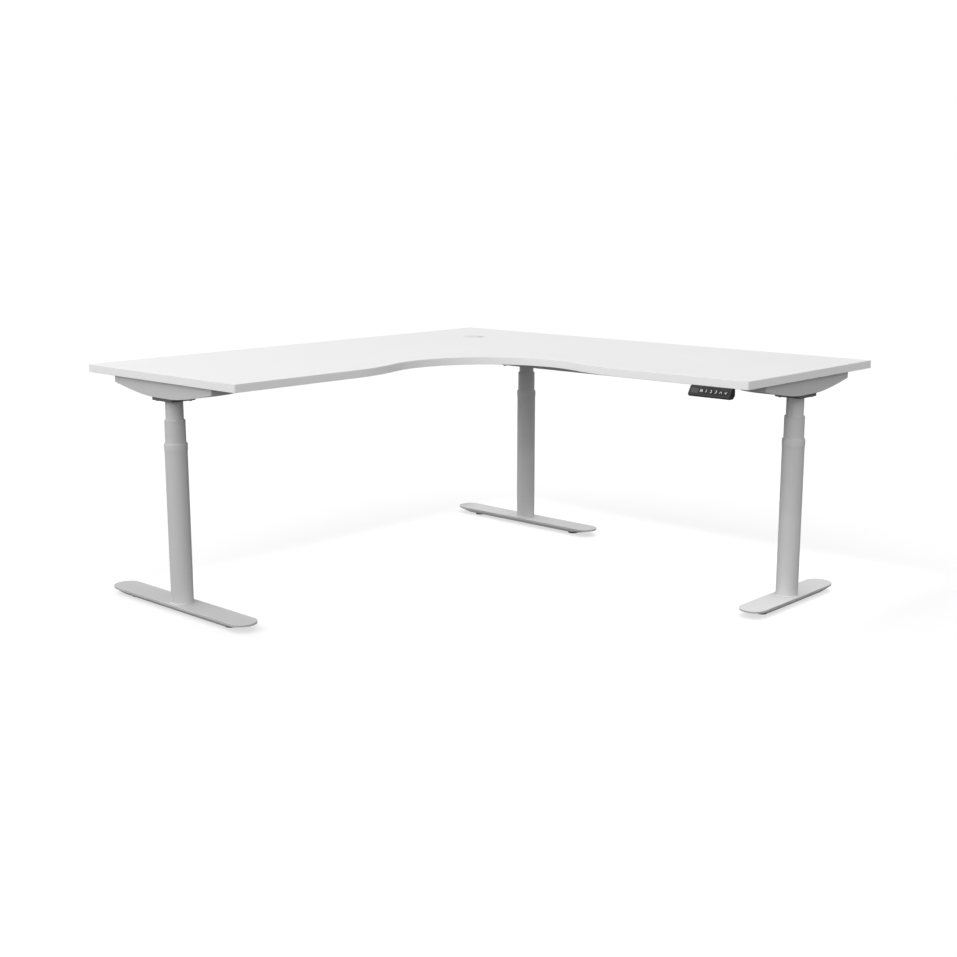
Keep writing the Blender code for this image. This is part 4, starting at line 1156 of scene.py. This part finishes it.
panel_size = (HANDSET_WIDTH, PANEL_LENGTH, PANEL_THICKNESS)
fascia = round_block("handset_panel", panel_size, (0, 0, -PANEL_THICKNESS / 2), 0.004, 6)
hole_size = (KEY_SIZE[0] + 2 * KEY_GAP, KEY_SIZE[1] + 2 * KEY_GAP, 0.01)
for key_x in KEY_PLACES:
    cut(fascia, round_block("key_hole", hole_size, (key_x, 0, 0), 0.0020, 4))
cut(fascia, round_block("window", (0.0265, 0.018, 0.0010), (WINDOW_X, 0, 0), 0.0015, 4))
soften(fascia, 0.0003, 2, 60)
fascia.data.transform(on_panel)
fit(fascia, black, "top", "black_gloss", "handset_fascia")

display_size = (0.0261, 0.0176, 0.0004)
display = round_block("handset_display", display_size, (WINDOW_X, 0, -0.0003), 0.0014, 4)
soften(display, 0.0001, 1)
display.data.transform(on_panel)
fit(display, gloss, "top", "black_gloss")

ink = Finish("key_print_grey", (0.62, 0.63, 0.64), 0.5)
fade = ink.noise(1200, 2)
ink.feed("Base Color", ink.blend(fade, (0.56, 0.57, 0.58), (0.68, 0.69, 0.70)))
ink.feed("Roughness", 0.42 + fade * 0.2)
ink.relief(fade, 0.00001, 0.4)


def letter(name, text):
    """A printed sign, 9 mm tall and 0.1 mm thick, about the origin."""
    select_only()
    bpy.ops.object.text_add()
    sign = bpy.context.object
    sign.data.body = text
    sign.data.size = 0.0128
    sign.data.extrude = 0.00005
    sign.data.offset = 0.00015
    sign.data.resolution_u = 4
    sign.data.align_x = "CENTER"
    sign.data.align_y = "CENTER"
    bpy.ops.object.convert(target="MESH")
    sign.name = sign.data.name = name
    reopen(sign)
    close_up(1e-6)
    leave_edit()
    return sign


def chevron(name, up):
    """An arrow head of two strokes, pointing up or down."""
    strokes = []
    for lean in (-1, 1):
        stroke = block(name, (0.0076, 0.0014, 0.0001), (0, 0, 0))
        bpy.ops.mesh.bevel(offset=0.00002, segments=1)
        leave_edit()
        slope = Matrix.Rotation(math.radians(60 * lean), 4, "Z")
        stroke.data.transform(Matrix.Translation((0.0020 * lean, 0, 0)) @ slope.inverted())
        if not up:
            stroke.data.transform(Matrix.Rotation(math.radians(180), 4, "Z"))
        strokes.append(stroke)
    return gathered(name, strokes)


for i, (sign, key_x) in enumerate(zip(KEYS, KEY_PLACES), 1):
    at_key = on_panel @ Matrix.Translation((key_x, 0, 0))
    node = f"button_{i}"
    key_place = (0, 0, KEY_PROUD - KEY_THICKNESS / 2)
    key = round_block(f"{node}_key", (*KEY_SIZE, KEY_THICKNESS), key_place, 0.0018, 4)
    step_in(key, (0, 0, 1), 0.0012, -0.0002)
    soften(key, 0.0002, 2, 50)
    key.data.transform(at_key)
    fit(key, black, node, "black_plastic", node)
    if sign in ("up", "down"):
        mark = chevron(f"{node}_sign", sign == "up")
    else:
        mark = letter(f"{node}_sign", sign)
    mark.data.transform(at_key @ Matrix.Translation((0, 0, 0.00082)))
    fit(mark, ink, node, "black_plastic")

switches = []
for key_x in KEY_PLACES:
    switch = block("switch", (0.006, 0.006, 0.0006), (key_x, 0, -0.0047))
    step_in(switch, (0, 0, 1), 0.0018, 0.0003)
    soften(switch, 0.0001, 1)
    switch.data.transform(on_panel)
    switches.append(switch)
fit(gathered("handset_switches", switches), parts, "top", "circuit_board")


# ---- Floor, light and camera ---------------------------------------------------------------------
# A plain white studio: a pale floor that takes soft shadows, a white backdrop all round, a wash of
# light that is strongest from above and from -Y, a soft box overhead and a low panel for the feet.

bpy.ops.object.select_all(action="DESELECT")
bpy.ops.mesh.primitive_plane_add(size=110, location=(0, 0, 0))
floor = bpy.context.object
floor.name = "studio_floor"
paper = Finish("studio_floor_white", (0.40, 0.40, 0.40), 0.9, specular=0.1)
paper.shader.inputs["Emission Color"].default_value = (1, 1, 1, 1)
paper.shader.inputs["Emission Strength"].default_value = 0.62
floor.data.materials.append(paper.material)
bpy.ops.mesh.primitive_uv_sphere_add(segments=48, ring_count=24, radius=75, location=(0, 0, 0))
backdrop = bpy.context.object
backdrop.name = "studio_backdrop"
wall = Finish("studio_backdrop_white", (0, 0, 0), 1.0, specular=0.0)
wall.shader.inputs["Emission Color"].default_value = (1, 1, 1, 1)
wall.shader.inputs["Emission Strength"].default_value = 1.0
backdrop.data.materials.append(wall.material)
for stage in (floor, backdrop):
    stage.visible_diffuse = stage.visible_glossy = stage.visible_shadow = False
    stage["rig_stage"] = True

sky = bpy.data.worlds.new("studio_light")
sky.use_nodes = True
bpy.context.scene.world = sky
wash = sky.node_tree.nodes["Background"]
wash.inputs["Color"].default_value = (1, 1, 1, 1)


def sky_node(kind, **settings):
    made = sky.node_tree.nodes.new(kind)
    for setting, value in settings.items():
        setattr(made, setting, value)
    return made


direction = sky_node("ShaderNodeTexCoord")
side_light = sky_node("ShaderNodeVectorMath", operation="DOT_PRODUCT")
side_light.inputs[1].default_value = (-0.02, -0.84, 0)
above = sky_node("ShaderNodeMath", operation="ADD")
above.inputs[1].default_value = 0.97
dimmest = sky_node("ShaderNodeMath", operation="MAXIMUM")
dimmest.inputs[1].default_value = 0.55
height = sky_node("ShaderNodeSeparateXYZ")
horizon = sky_node("ShaderNodeMapRange", interpolation_type="SMOOTHSTEP")
horizon.inputs["From Min"].default_value = -0.10
horizon.inputs["From Max"].default_value = 0.12
horizon.inputs["To Min"].default_value = 0.13
for start, end in (
    (direction.outputs["Generated"], side_light.inputs[0]), (side_light.outputs["Value"], above.inputs[0]),
    (above.outputs[0], dimmest.inputs[0]), (dimmest.outputs[0], horizon.inputs["To Max"]),
    (direction.outputs["Generated"], height.inputs[0]), (height.outputs["Z"], horizon.inputs["Value"]),
    (horizon.outputs[0], wash.inputs["Strength"]),
):
    sky.node_tree.links.new(start, end)


def square_light(name, size, energy, place):
    """A square area light that faces down."""
    light = bpy.data.lights.new(name, "AREA")
    light.shape = "SQUARE"
    light.size = size
    light.energy = energy
    lamp = bpy.data.objects.new(name, light)
    lamp.location = place
    bpy.context.scene.collection.objects.link(lamp)
    return lamp


soft_box = square_light("soft_box", 2.4, 14, (-1.6, -1.6, 3.4))
aim = Vector((0, 0, 0.5)) - soft_box.location
soft_box.rotation_euler = aim.to_track_quat("-Z", "Y").to_euler()
low_panel = square_light("low_panel", 1.9, 5.5, (0.10, 0.20, 0.30))
low_panel.data.spread = math.radians(50)
low_panel.visible_camera = low_panel.visible_glossy = False

lens = bpy.data.cameras.new("camera")
lens.sensor_width = 36
lens.lens = 52.33
camera = bpy.data.objects.new("camera", lens)
camera.location = (3.029, -3.330, 1.269)
camera.rotation_euler = (math.radians(90 - 11.27), 0, math.radians(42.54))
bpy.context.scene.collection.objects.link(camera)
bpy.context.scene.camera = camera
bpy.context.scene.view_settings.view_transform = "Standard"

low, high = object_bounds()
